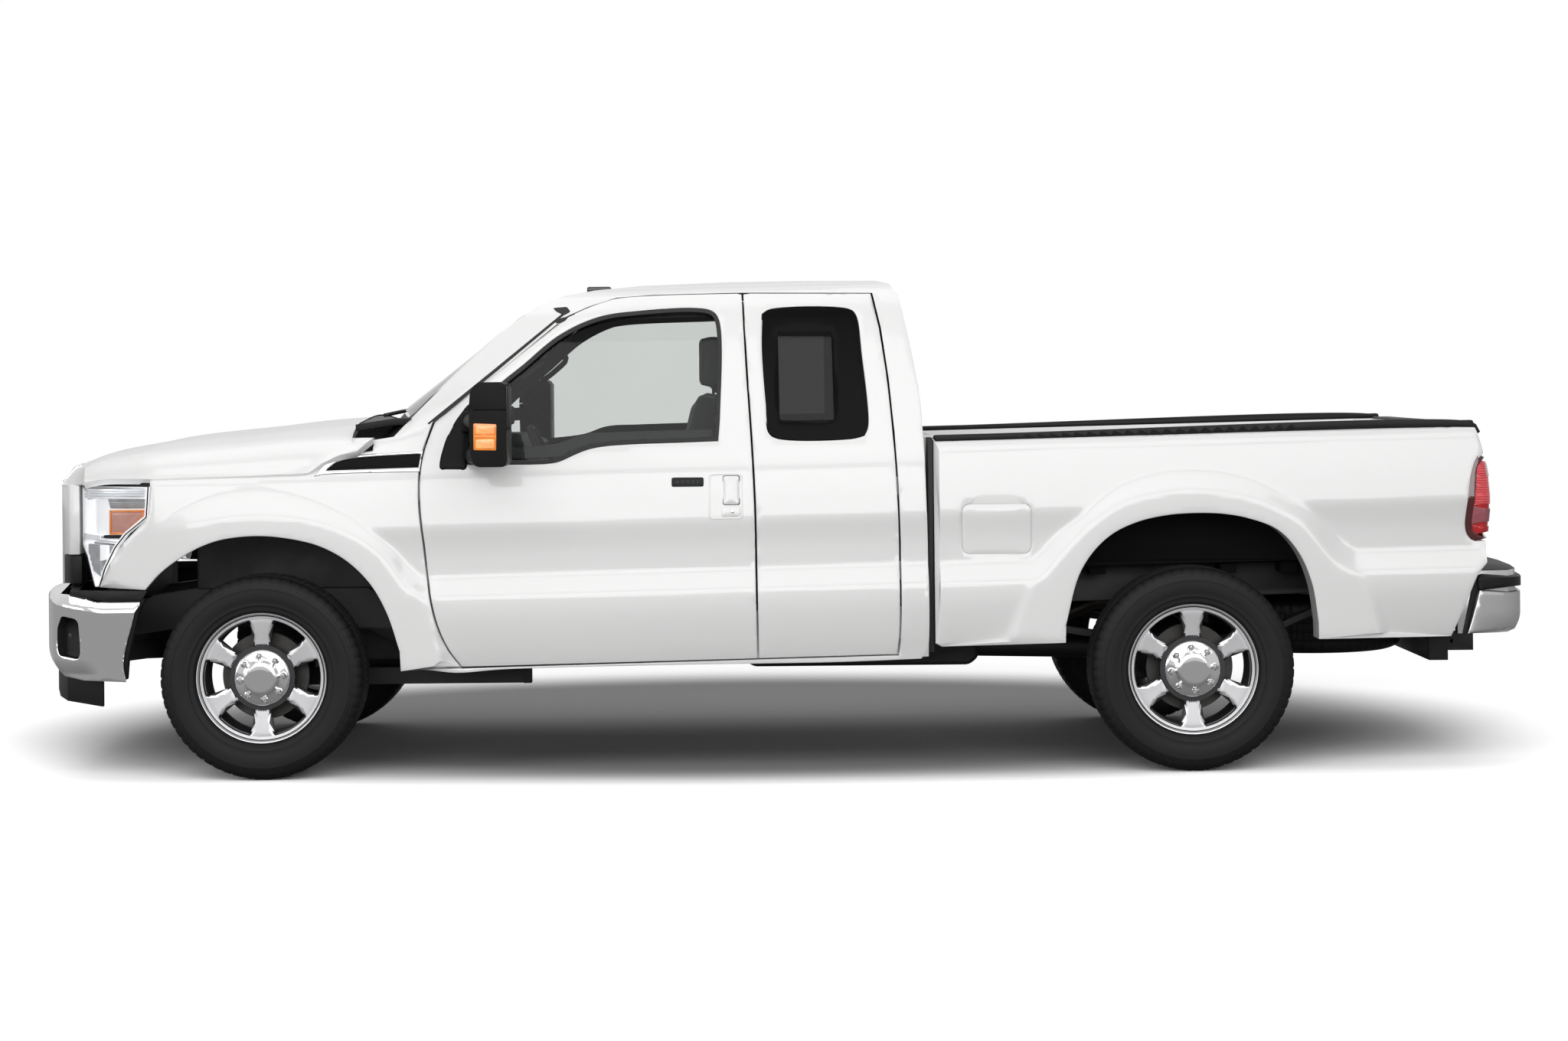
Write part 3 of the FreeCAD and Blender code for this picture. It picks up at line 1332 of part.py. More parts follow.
def build_wheels():
    for hand, word in ((-1, "left"), (1, "right")):
        for axle_x, track, end in ((front_axle_x, front_track, "front"), (rear_axle_x, rear_track, "rear")):
            centre = (axle_x, hand * track / 2, axle_z)
            save("tyre_" + end + "_" + word, [tyre(centre, tyre_width)])
            save("rim_" + end + "_" + word, [joined([rim(centre, hand), brake(axle_x, track, hand)])])
        save("knuckle_" + word, [knuckle(hand)])


def spare_wheel():
    centre = (station(spare_place_share), 0, level(spare_height_share))
    upright = tyre(centre, spare_thickness)
    inner = spare_thickness / tyre_width * tyre_bead_width / 2
    disc = rod((centre[0], centre[1] - inner, centre[2]), (centre[0], centre[1] - inner / 2, centre[2]),
               tyre_bead_radius + rim_fit)
    shape = joined([upright, disc])
    return shape.rotate(FreeCAD.Vector(centre), FreeCAD.Vector(1, 0, 0), 90)


spare_place_share = 1.446
spare_height_share = 0.262


# Cabin


def steering_axis():
    tilt = math.radians(column_tilt)
    return FreeCAD.Vector(math.cos(tilt), 0, math.sin(tilt))


def steering_centre():
    return FreeCAD.Vector(station(0.300), -side(0.390), level(0.612))


def steering_wheel():
    centre = steering_centre()
    axis = steering_axis()
    ring = Part.makeTorus(steering_wheel_radius - steering_wheel_grip_radius, steering_wheel_grip_radius, centre,
                          axis)
    hub = Part.makeCylinder(steering_hub_radius, steering_hub_length, centre - axis * steering_hub_length, axis)
    reach = steering_wheel_radius - steering_wheel_grip_radius
    spokes = []
    across = FreeCAD.Vector(0, 1, 0)
    up = axis.cross(across)
    for angle in (0, 180, 250, 290):
        turn = math.radians(angle)
        way = across * math.cos(turn) - up * math.sin(turn)
        spokes.append(Part.makeCylinder(steering_wheel_grip_radius * 0.8, reach,
                                        centre - axis * steering_wheel_grip_radius, way + axis * 0.08))
    return joined([ring, hub] + spokes)


def dashboard():
    x = station(firewall_share) + firewall_thickness
    ring = [(x, level(0.440)), (x, level(0.648))]
    ring += outline([(0.205, 0.676), (0.256, 0.676), (0.276, 0.655), (0.269, 0.590), (0.235, 0.520),
                     (0.225, 0.440)])
    y = side(0.971) - door_thickness - panel_gap
    dash = prism_y(ring, -y * dash_width_share, y * dash_width_share)
    centre = steering_centre()
    axis = steering_axis()
    start = centre - axis * (steering_hub_length + turning_gap)
    column = Part.makeCylinder(column_radius, column_length, start, axis * -1)
    return joined([dash, column])


dash_width_share = 0.985


def seat(x, y, width, back_shares):
    ring = [(x + a * wheelbase, level(b)) for a, b in back_shares]
    return prism_y(ring, y - width / 2, y + width / 2)


front_seat_shares = [(0.000, 0.424), (0.010, 0.400), (0.130, 0.385), (0.155, 0.400), (0.195, 0.760),
                     (0.165, 0.770), (0.122, 0.440), (0.020, 0.470)]
rear_seat_shares = [(0.000, 0.440), (0.008, 0.420), (0.118, 0.405), (0.150, 0.420), (0.176, 0.735),
                    (0.150, 0.745), (0.108, 0.455), (0.010, 0.478)]
seat_base_shares = [(0.020, 0.325), (0.130, 0.325), (0.130, 0.386), (0.020, 0.400)]
rear_base_shares = [(0.015, 0.325), (0.118, 0.325), (0.118, 0.406), (0.015, 0.420)]
front_seat_x_share = 0.345
rear_seat_x_share = 0.515
seat_y_share = 0.390


def headrest(x, y, z):
    pad = block(x, x + headrest_thickness, y - headrest_width / 2, y + headrest_width / 2, z, z + headrest_height)
    posts = []
    for hand in (-1, 1):
        post_y = y + hand * headrest_width / 4
        post_x = x + headrest_thickness / 2
        posts.append(rod((post_x, post_y, z - headrest_post_length), (post_x, post_y, z + headrest_post_radius),
                         headrest_post_radius))
    return joined([pad] + posts)


def below_seats():
    # The cabin floor's own surface and all under it
    y = half_width
    z = level(floor_share)
    return raked_prism([(-y, z), (y, z), (y, 0), (-y, 0)], station(0.1), station(0.75))


def seats():
    pads = []
    bases = []
    x = station(front_seat_x_share)
    for hand in (-1, 1):
        y = hand * side(seat_y_share)
        pads.append(seat(x, y, seat_width, front_seat_shares))
        bases.append(seat(x, y, seat_width * 0.8, seat_base_shares))
    x = station(rear_seat_x_share)
    pads.append(seat(x, 0, side(1.50), rear_seat_shares))
    bases.append(seat(x, 0, side(1.30), rear_base_shares))
    bases = [base.cut(Part.makeCompound(pads)).cut(below_seats()) for base in bases]
    return pads, bases


def headrests():
    pieces = []
    rows = ((front_seat_x_share + 0.168, 0.772), (rear_seat_x_share + 0.142, 0.747))
    pads = Part.makeCompound(seats()[0])
    for along, height in rows:
        for hand in (-1, 1):
            rest = headrest(station(along), hand * side(seat_y_share), level(height) + headrest_gap)
            pieces.append(rest.cut(pads))
    return pieces


headrest_gap = 20.0


def roof_lamps():
    pieces = []
    roof = cab_outer()
    x = station(0.372)
    for across in roof_lamp_shares:
        y = side(across)
        lamp = block(x, x + roof_lamp_length, y - roof_lamp_width / 2, y + roof_lamp_width / 2, level(0.974),
                     level(0.984) + roof_lamp_height)
        pieces.append(lamp.cut(roof))
    return pieces


roof_lamp_shares = (-0.470, -0.160, 0.000, 0.160, 0.470)


def build_chassis():
    save("frame_rails", [frame_rails()])
    save("engine_and_gearbox", [engine()])
    save("drive_shaft", [drive_shaft()])
    save("exhaust", [exhaust()])
    save("fuel_tank", [fuel_tank()])
    save("radiator", [radiator()])
    save("front_axle", front_suspension())
    save("rear_axle", [rear_suspension()])
    save("spare_wheel", [spare_wheel()])


def build_cabin():
    save("steering_wheel", [steering_wheel()])
    save("dashboard", [dashboard()])
    pads, bases = seats()
    save("seat_cushions", pads)
    save("seat_frames", bases)
    save("headrests", headrests())
    save("roof_lamps", roof_lamps())


def build_cab():
    save("cab_shell", [cab_shell()])
    save("windscreen", [windscreen()])
    save("rear_glass", [rear_glass()])


build_cab()
build_doors()
build_front()
build_bed()
build_chassis()
build_wheels()
build_cabin()
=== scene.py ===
import json
import math
import bpy
import bmesh
import numpy as np
from mathutils import Vector, Matrix, geometry

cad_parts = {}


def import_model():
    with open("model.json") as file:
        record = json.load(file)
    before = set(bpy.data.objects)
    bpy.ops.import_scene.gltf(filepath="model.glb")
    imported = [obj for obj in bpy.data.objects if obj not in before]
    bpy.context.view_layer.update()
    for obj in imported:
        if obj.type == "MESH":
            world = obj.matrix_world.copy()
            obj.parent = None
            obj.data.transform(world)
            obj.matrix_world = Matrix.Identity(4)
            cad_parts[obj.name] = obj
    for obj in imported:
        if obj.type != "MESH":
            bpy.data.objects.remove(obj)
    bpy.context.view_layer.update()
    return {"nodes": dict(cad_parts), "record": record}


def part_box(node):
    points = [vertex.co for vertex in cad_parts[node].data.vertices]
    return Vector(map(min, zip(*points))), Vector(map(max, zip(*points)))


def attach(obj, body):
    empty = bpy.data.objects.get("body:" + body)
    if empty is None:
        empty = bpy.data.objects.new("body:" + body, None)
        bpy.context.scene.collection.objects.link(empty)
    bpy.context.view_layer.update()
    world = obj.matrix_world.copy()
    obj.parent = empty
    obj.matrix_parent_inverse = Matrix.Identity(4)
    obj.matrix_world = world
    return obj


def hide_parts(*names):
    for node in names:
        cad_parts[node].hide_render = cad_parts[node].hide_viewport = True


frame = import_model()
NODES = frame["nodes"]
RECORD = frame["record"]

# The CAD's places, in metres, measured from the front axle line and the floor
WHEELBASE, FRONT, REAR, HEIGHT, HALF = 3.602, 0.963, 1.338, 1.928, 1.0145
XF = -1.9885
XR = XF + WHEELBASE
SLOPE = math.tan(math.radians(1.1))
TYRE = 0.396
HANDS = ((-1, "left"), (1, "right"))
FAR = 1e9
TINY = 1e-12
FULL_TURN = 2 * math.pi


def st(s):
    """A place along the truck, given as a share: below 0 ahead of the front axle, above 1 behind the rear one."""
    if s < 0:
        return XF + s * FRONT
    return XF + s * WHEELBASE if s <= 1 else XR + (s - 1) * REAR


def lv(s):
    return s * HEIGHT


def sd(s):
    return s * HALF


def xz(shares):
    return [(st(a), lv(b)) for a, b in shares]


def mm(points):
    return [(XF + x / 1000, z / 1000) for x, z in points]


def wheel_ring(shares, axle):
    return [(axle + a * TYRE, TYRE + b * TYRE) for a, b in shares]


def upright(x, z):
    """The height that a point has on the level body, before the truck leans on its nose."""
    return z - (x - XF) * SLOPE


# Materials

def shader(nt, kind, values=(), links=(), **settings):
    """A node with its values and links set by the names or numbers of its sockets."""
    n = nt.nodes.new(kind)
    for key, value in settings.items():
        setattr(n, key, value)
    for key, value in dict(values).items():
        n.inputs[key].default_value = value
    for key, socket in dict(links).items():
        nt.links.new(socket, n.inputs[key])
    return n


def grey(v):
    return v, v, v, 1


def empty_material(name):
    m = bpy.data.materials.new(name)
    m.use_nodes = True
    m.node_tree.nodes.remove(m.node_tree.nodes["Principled BSDF"])
    return m, m.node_tree


def noise(nt, scale, detail=3, stretch=(1, 1, 1)):
    co = shader(nt, "ShaderNodeTexCoord")
    mp = shader(nt, "ShaderNodeMapping", {"Scale": stretch}, {"Vector": co.outputs["Object"]})
    return shader(nt, "ShaderNodeTexNoise", {"Scale": scale, "Detail": detail}, {"Vector": mp.outputs["Vector"]})


def mapped(nt, value, lo, hi, a, b, smooth=True):
    n = shader(nt, "ShaderNodeMapRange", {"From Min": lo, "From Max": hi, "To Min": a, "To Max": b}, {"Value": value},
               interpolation_type="SMOOTHSTEP" if smooth else "LINEAR")
    return n.outputs["Result"]


def ramp(nt, fac, stops):
    n = shader(nt, "ShaderNodeValToRGB", links={"Fac": fac})
    steps = n.color_ramp.elements
    while len(steps) < len(stops):
        steps.new(0.5)
    for e, (position, color) in zip(steps, stops):
        e.position = position
        e.color = (*color, 1)
    return n.outputs["Color"]


def material(name, color, rough=0.5, metal=0, coat=0, vary=0.1, rough_vary=0.1, scale=6,
             grain=None, ior=1.5, sheen=0, painted_glow=None, coat_rough=0.04):
    """A shader whose colour and roughness vary a little; grain is the scale and depth of its bumps, and painted_glow is
    painted light that makes an unlit lamp part glow.
    """
    m = bpy.data.materials.new(name)
    m.use_nodes = True
    nt = m.node_tree
    b = nt.nodes["Principled BSDF"]
    fac = noise(nt, scale, 4).outputs["Fac"]
    lo = [c * (1 - vary) for c in color]
    hi = [min(1, c * (1 + vary)) for c in color]
    nt.links.new(ramp(nt, fac, [(0.3, lo), (0.7, hi)]), b.inputs["Base Color"])
    spread = mapped(nt, fac, 0, 1, rough * (1 - rough_vary), min(1, rough * (1 + rough_vary)), False)
    nt.links.new(spread, b.inputs["Roughness"])
    for key, value in (("Metallic", metal), ("IOR", ior), ("Coat Weight", coat), ("Coat Roughness", coat_rough),
                       ("Sheen Weight", sheen)):
        b.inputs[key].default_value = value
    # Painted light: an unlit lamp's reflector or lens glows so it looks as bright as the studio light it catches
    if painted_glow:
        b.inputs["Emission Color"].default_value = (*painted_glow, 1)
        b.inputs["Emission Strength"].default_value = 1
    if grain:
        bumps(m, noise(nt, grain[0], 2).outputs["Fac"], grain[1])
    return m


def bumps(m, height, depth):
    nt = m.node_tree
    bp = shader(nt, "ShaderNodeBump", {"Strength": 1, "Distance": depth}, {"Height": height})
    nt.links.new(bp.outputs["Normal"], nt.nodes["Principled BSDF"].inputs["Normal"])


def fabric_material(name, color):
    m = material(name, color, 0.9, vary=0.12, scale=9, sheen=0.25)
    nt = m.node_tree
    co = shader(nt, "ShaderNodeTexCoord").outputs["Object"]
    waves = [shader(nt, "ShaderNodeTexWave", {"Scale": 160, "Distortion": 0.3}, {"Vector": co}, bands_direction=way)
             for way in "XZ"]
    mx = shader(nt, "ShaderNodeMath", links=enumerate(w.outputs["Fac"] for w in waves), operation="MAXIMUM")
    bumps(m, mx.outputs[0], 0.0006)
    return m


def thin_glass(name, tint, strength):
    """A pane seen through, its gloss added over what lies behind."""
    m, nt = empty_material(name)
    color = ramp(nt, noise(nt, 3).outputs["Fac"], [(0, [c * 0.97 for c in tint]), (1, tint)])
    tr = shader(nt, "ShaderNodeBsdfTransparent", links={"Color": color})
    gl = shader(nt, "ShaderNodeBsdfGlossy", {"Roughness": 0.02, "Color": grey(strength)})
    fr = shader(nt, "ShaderNodeFresnel", {"IOR": 1.45})
    # Only the side that faces out shines, so a thick pane has no mirror inside it
    geo = shader(nt, "ShaderNodeNewGeometry")
    front = shader(nt, "ShaderNodeMath", links={0: fr.outputs["Fac"], 1: geo.outputs["Backfacing"]},
                   operation="SUBTRACT", use_clamp=True)
    mix = shader(nt, "ShaderNodeMixShader", links={"Fac": front.outputs["Value"], 1: tr.outputs["BSDF"],
                                                   2: gl.outputs["BSDF"]})
    nt.links.new(mix.outputs["Shader"], nt.nodes["Material Output"].inputs["Surface"])
    return m


M = {
    "body_paint": material("white_enamel", (0.8, 0.8, 0.795), 0.32, coat=0.7, vary=0.006, rough_vary=0.08,
                           scale=2, grain=(900, 0.000015), coat_rough=0.03),
    "seat_fabric": fabric_material("seat_cloth", (0.022, 0.022, 0.024))}
for slot, color, rough, more in (
        ("bed_paint:bed_enamel", (0.74, 0.74, 0.735), 0.42, dict(coat=0.3, vary=0.03, grain=(700, 0.00004))),
        ("chrome:polished_chrome", (0.8, 0.8, 0.81), 0.06, dict(metal=1, vary=0.01, rough_vary=0.5, scale=4)),
        ("black_trim:grained_black", (0.009, 0.009, 0.0095), 0.5, dict(ior=1.3, vary=0.2, grain=(2200, 0.0001))),
        ("gloss_black", (0.005, 0.005, 0.0055), 0.15, dict(ior=1.12)),
        # Painted light: lamp_bowl, amber and red_lens glow though the lamps are unlit
        ("lamp_bowl", (0.72, 0.73, 0.75), 0.2, dict(metal=0.7, vary=0.06, scale=14, painted_glow=(0.22, 0.22, 0.225))),
        ("amber:amber_lens", (0.85, 0.25, 0.03), 0.14, dict(coat=0.6, vary=0.12, scale=30, painted_glow=(0.1, 0.022, 0))),
        ("red_lens", (0.6, 0.06, 0.07), 0.14, dict(coat=0.4, vary=0.12, scale=25, painted_glow=(0.13, 0.012, 0.016))),
        ("red_dark", (0.075, 0.004, 0.007), 0.14, dict(coat=0.7, scale=25)),
        ("smoked_lens", (0.014, 0.01, 0.009), 0.16, dict(coat=0.5, vary=0.15)),
        ("white_lens", (0.62, 0.55, 0.55), 0.15, dict(coat=0.5, vary=0.08, scale=20)),
        ("tyre:tyre_rubber", (0.0062, 0.0062, 0.0065), 0.62, dict(vary=0.15, scale=12, grain=(900, 0.00012), ior=1.35)),
        ("wheel_alloy:machined_alloy", (0.6, 0.6, 0.61), 0.34, dict(metal=0.8, vary=0.02, scale=5, rough_vary=0.15)),
        ("alloy_dark:dark_alloy", (0.022, 0.022, 0.024), 0.42, dict(metal=0.2, vary=0.15)),
        ("liner_plastic", (0.004, 0.004, 0.004), 0.8, dict(ior=1.3, vary=0.25, grain=(800, 0.0003))),
        ("chassis_paint:chassis_black", (0.011, 0.011, 0.011), 0.55, dict(vary=0.35, scale=9, grain=(500, 0.0002))),
        ("forged_iron", (0.045, 0.04, 0.036), 0.65, dict(metal=0.6, vary=0.3, scale=14, grain=(300, 0.0004))),
        ("disc_steel", (0.06, 0.058, 0.055), 0.45, dict(metal=0.8, vary=0.15, scale=20)),
        ("engine_metal:cast_alloy", (0.09, 0.09, 0.092), 0.6, dict(metal=0.6, vary=0.25, grain=(260, 0.0006))),
        ("radiator_metal:radiator_black", (0.015, 0.015, 0.016), 0.6, dict(metal=0.4, vary=0.2)),
        ("exhaust_steel", (0.14, 0.125, 0.11), 0.45, dict(metal=0.9, vary=0.25, scale=10)),
        ("tank_plastic", (0.014, 0.014, 0.014), 0.6, dict(vary=0.2, grain=(400, 0.0003))),
        ("dash_plastic", (0.014, 0.014, 0.015), 0.6, dict(vary=0.12, grain=(1500, 0.00015))),
        ("trim_grey", (0.014, 0.015, 0.015), 0.7, dict(grain=(1200, 0.0001))),
        ("head_cloth", (0.03, 0.031, 0.03), 0.95, dict(vary=0.06, grain=(1500, 0.0002), sheen=0.2)),
        ("seat_metal", (0.02, 0.02, 0.02), 0.5, dict(metal=0.3, vary=0.2)),
        ("rubber:seal_rubber", (0.01, 0.01, 0.01), 0.7, dict(vary=0.2)),
        # Painted light: lamp_white, lamp_grey, amber_pale and amber_bright glow though the lamps are unlit
        ("lamp_white", (0.72, 0.72, 0.73), 0.35, dict(coat=0.3, vary=0.04, scale=10, painted_glow=(0.55, 0.55, 0.555))),
        ("lamp_grey", (0.34, 0.345, 0.35), 0.22, dict(metal=0.5, vary=0.2, scale=30, painted_glow=(0.09, 0.09, 0.092))),
        ("amber_pale", (0.5, 0.27, 0.22), 0.25, dict(coat=0.4, vary=0.15, scale=35, painted_glow=(0.14, 0.055, 0.04))),
        ("amber_bright", (0.95, 0.42, 0.16), 0.2, dict(coat=0.4, vary=0.25, scale=45, painted_glow=(0.3, 0.1, 0.03))),
        ("mirror_black", (0.0055, 0.0055, 0.0058), 0.5, dict(ior=1.22, vary=0.15, grain=(1600, 0.00008))),
        ("red_pale", (0.36, 0.1, 0.12), 0.18, dict(coat=0.5, vary=0.12, scale=25)),
        # Painted light: red_deep glows though the tail lamp is unlit
        ("red_deep", (0.42, 0.012, 0.016), 0.12, dict(coat=0.3, vary=0.12, scale=25, painted_glow=(0.06, 0, 0))),
        ("bumper_face", (0.55, 0.55, 0.555), 0.25, dict(metal=0.6, vary=0.03)),
        ("bright:bright_alloy", (0.55, 0.55, 0.56), 0.18, dict(metal=1, vary=0.03))):
    M[slot.split(":")[0]] = material(slot.split(":")[-1], color, rough, **more)
for slot, name, tint, strength in (("clear_glass", "clear_pane", (0.89, 0.902, 0.895), 0.4),
                                   ("privacy_glass", "dark_pane", (0.36, 0.37, 0.36), 0.4),
                                   ("screen_glass", "screen_pane", (0.52, 0.535, 0.53), 1),
                                   ("lamp_lens", "lamp_cover", (0.95, 0.955, 0.96), 0.5)):
    M[slot] = thin_glass(name, tint, strength)
SLOT_OF = {s["node"]: s["material_slot"] for s in RECORD["subparts"]}
BODY_OF = {n: b for b, ns in RECORD["behaviour"]["bodies"].items() for n in ns}
for name, obj in NODES.items():
    for i in range(max(1, len(obj.material_slots))):
        if not obj.material_slots:
            obj.data.materials.append(M[SLOT_OF[name]])
        obj.material_slots[i].material = M[SLOT_OF[name]]


# Mesh helpers

def linked(name, data):
    obj = bpy.data.objects.new(name, data)
    bpy.context.scene.collection.objects.link(obj)
    return obj


def place(name, mesh, smooth=35, body="truck", node=None, slot=None):
    obj = linked(name, mesh)
    if smooth:
        mesh.shade_smooth()
        mesh.set_sharp_from_angle(angle=math.radians(smooth))
    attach(obj, body)
    if node:
        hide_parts(node)
    return obj


def add_materials(mesh, mats):
    for m in (mats if isinstance(mats, (list, tuple)) else [mats]):
        mesh.materials.append(M[m])


def new_object(name, verts, faces, mats, face_mats=None, smooth=35, body="truck", node=None, slot=None):
    mesh = bpy.data.meshes.new(name)
    mesh.from_pydata([tuple(v) for v in verts], [], [tuple(int(i) for i in f) for f in faces])
    add_materials(mesh, mats)
    if face_mats is not None:
        mesh.polygons.foreach_set("material_index", np.array(face_mats, dtype=np.int32))
    mesh.update()
    return place(name, mesh, smooth, body, node, slot)


def from_bmesh(name, bm, mats, **k):
    bmesh.ops.recalc_face_normals(bm, faces=bm.faces)
    mesh = bpy.data.meshes.new(name)
    bm.to_mesh(mesh)
    bm.free()
    add_materials(mesh, mats)
    return place(name, mesh, **k)


def rounded_edges(bm, edges, offset, segments):
    bmesh.ops.bevel(bm, geom=edges, offset=offset, segments=segments, profile=0.5, affect="EDGES", clamp_overlap=True)


def refined(node, bevel=0.004, angle=28, segments=2, mats=None):
    """A copy of a CAD node's mesh with its edges rounded, standing for that node."""
    bm = bmesh.new()
    bm.from_mesh(NODES[node].data)
    bmesh.ops.remove_doubles(bm, verts=bm.verts, dist=0.00002)
    bmesh.ops.dissolve_limit(bm, angle_limit=math.radians(0.6), verts=bm.verts, edges=bm.edges)
    edges = [e for e in bm.edges if len(e.link_faces) == 2
             and e.calc_face_angle(0) > math.radians(angle) and e.calc_length() > bevel * 1.5]
    if edges:
        rounded_edges(bm, edges, bevel, segments)
    for f in bm.faces:
        f.material_index = 0
    return from_bmesh(node + "_skin", bm, mats or SLOT_OF[node], smooth=30, body=BODY_OF[node], node=node)


def rounded(points, cuts, steps=6, closed=False):
    """A polyline whose corners are cut by curves; a cut is a length or a share given as a negative number."""
    pts = [np.array(p, float) for p in points]
    count = len(pts)
    out = []
    for i, p in enumerate(pts):
        a, b = pts[i - 1], pts[(i + 1) % count]
        la, lb = np.linalg.norm(a - p), np.linalg.norm(b - p)
        cut = cuts[i] if isinstance(cuts, (list, tuple)) else cuts
        cut = min(0.499 * min(la, lb), -cut * min(la, lb) if cut < 0 else cut)
        if cut <= 0 or not closed and i in (0, count - 1):
            out.append(p)
            continue
        s, e = p + (a - p) / la * cut, p + (b - p) / lb * cut
        for k in range(steps + 1):
            t = k / steps
            out.append((1 - t) ** 2 * s + 2 * t * (1 - t) * p + t * t * e)
    return [tuple(p) for p in out]


def ringed(points, cut, steps=3):
    return rounded(points, cut, steps, closed=True)


def spline(points, step=0.02, corner=32, closed=True):
    """A smooth line through points, with corners kept where it turns sharply."""
    pts = [np.array(p, float) for p in points]
    n = len(pts)
    sharp = []
    for i in range(n):
        if not closed and i in (0, n - 1):
            sharp.append(True)
            continue
        a, b = pts[i] - pts[i - 1], pts[(i + 1) % n] - pts[i]
        cosine = np.dot(a, b) / (np.linalg.norm(a) * np.linalg.norm(b) + TINY)
        sharp.append(math.degrees(math.acos(max(-1, min(1, cosine)))) > corner)
    out = []
    for i in range(n if closed else n - 1):
        p1, p2 = pts[i], pts[(i + 1) % n]
        p0 = pts[i - 1] if not sharp[i] else 2 * p1 - p2
        p3 = pts[(i + 2) % n] if not sharp[(i + 1) % n] else 2 * p2 - p1
        d01, d12, d23 = [max(1e-6, np.linalg.norm(v) ** 0.5) for v in (p1 - p0, p2 - p1, p3 - p2)]
        m1 = (p2 - p1) + d12 * ((p1 - p0) / d01 - (p2 - p0) / (d01 + d12))
        m2 = (p2 - p1) + d12 * ((p3 - p2) / d23 - (p3 - p1) / (d12 + d23))
        k = max(1, int(math.ceil(np.linalg.norm(p2 - p1) / step)))
        for j in range(k):
            t = j / k
            out.append(tuple((2 * t**3 - 3 * t**2 + 1) * p1 + (t**3 - 2 * t**2 + t) * m1
                             + (-2 * t**3 + 3 * t**2) * p2 + (t**3 - t**2) * m2))
    if not closed:
        out.append(tuple(pts[-1]))
    return out


def open_line(points, step=0.02, corner=40):
    return spline(points, step, corner, closed=False)


def grown(points, gap):
    """A closed outline moved outwards by gap, or inwards where gap is negative."""
    p = np.array(points)
    a, b = np.roll(p, 1, 0), np.roll(p, -1, 0)
    turn = np.sum(a[:, 0] * p[:, 1] - p[:, 0] * a[:, 1])
    u, v = p - a, b - p
    u /= np.linalg.norm(u, axis=1)[:, None] + TINY
    v /= np.linalg.norm(v, axis=1)[:, None] + TINY
    n1, n2 = np.stack([-u[:, 1], u[:, 0]], 1), np.stack([-v[:, 1], v[:, 0]], 1)
    d = (n1 + n2) / np.maximum(0.35, 1 + np.sum(n1 * n2, 1))[:, None]
    return [tuple(q) for q in p - d * gap * (1 if turn > 0 else -1)]


def inside(p, ring):
    px, pz = p[:, 0], p[:, 1]
    hit = np.zeros(len(p), bool)
    for i, (xi, zi) in enumerate(ring):
        xj, zj = ring[i - 1]
        if zi != zj:
            hit ^= ((zi > pz) != (zj > pz)) & (px < (xj - xi) * (pz - zi) / (zj - zi) + xi)
    return hit


def edge_distance(p, rings):
    best = np.full(len(p), FAR)
    for ring in rings:
        r = np.array(ring)
        for a, b in zip(np.roll(r, 1, 0), r):
            d = b - a
            t = np.clip(((p[:, 0] - a[0]) * d[0] + (p[:, 1] - a[1]) * d[1]) / (d @ d + 1e-18), 0, 1)
            best = np.minimum(best, np.hypot(p[:, 0] - a[0] - t * d[0], p[:, 1] - a[1] - t * d[1]))
    return best


def in_domain(p, outer, holes):
    keep = inside(p, outer)
    for h in holes:
        keep &= ~inside(p, h)
    return keep


def domain(outer, holes, step, lip):
    """Triangles over an outline, all turned one way, with two close rows of points along every edge."""
    loops = [list(outer)] + [list(h) for h in holes]
    pts, edges = [], []
    for loop in loops:
        base = len(pts)
        pts += loop
        edges += [(base + i, base + (i + 1) % len(loop)) for i in range(len(loop))]
    for k, loop in enumerate(loops):
        for gap in (lip * 0.45, lip):
            pts += grown(loop, gap if k else -gap)
    o = np.array(outer)
    gx, gz = np.meshgrid(*[np.arange(o[:, i].min(), o[:, i].max(), step) for i in (0, 1)])
    gx = gx + (np.arange(gx.shape[0]) % 2)[:, None] * step / 2
    grid = np.stack([gx.ravel(), gz.ravel()], 1)
    grid = grid[in_domain(grid, outer, holes)]
    pts += grid[edge_distance(grid, loops) > lip + step * 0.42].tolist()
    got = geometry.delaunay_2d_cdt([Vector(p) for p in pts], edges, [], 0, 1e-6)
    v = np.array([tuple(p) for p in got[0]])
    f = np.array([list(t) for t in got[2] if len(t) == 3])
    f = f[in_domain(v[f].mean(axis=1), outer, holes)]
    used = np.unique(f)
    remap = -np.ones(len(v), int)
    remap[used] = np.arange(len(used))
    v, f = v[used], remap[f]
    turn = np.cross(v[f[:, 1]] - v[f[:, 0]], v[f[:, 2]] - v[f[:, 0]])
    return v, np.where((turn > 0)[:, None], f, f[:, ::-1]), edge_distance(v, loops)


def closed_skin(top, low, f):
    """Two layers of points with the same triangles, joined along the rim. Gives the count of rim faces too."""
    n = len(top)
    tris = [tuple(t) for t in f.tolist()]
    edges = [(t[i - 1], t[i]) for t in tris for i in (1, 2, 0)]
    seen = set(edges)
    rim = [(b, a, n + a, n + b) for a, b in edges if (b, a) not in seen]
    return np.vstack([top, low]), tris + [tuple(n + i for i in t[::-1]) for t in tris] + rim, len(rim)


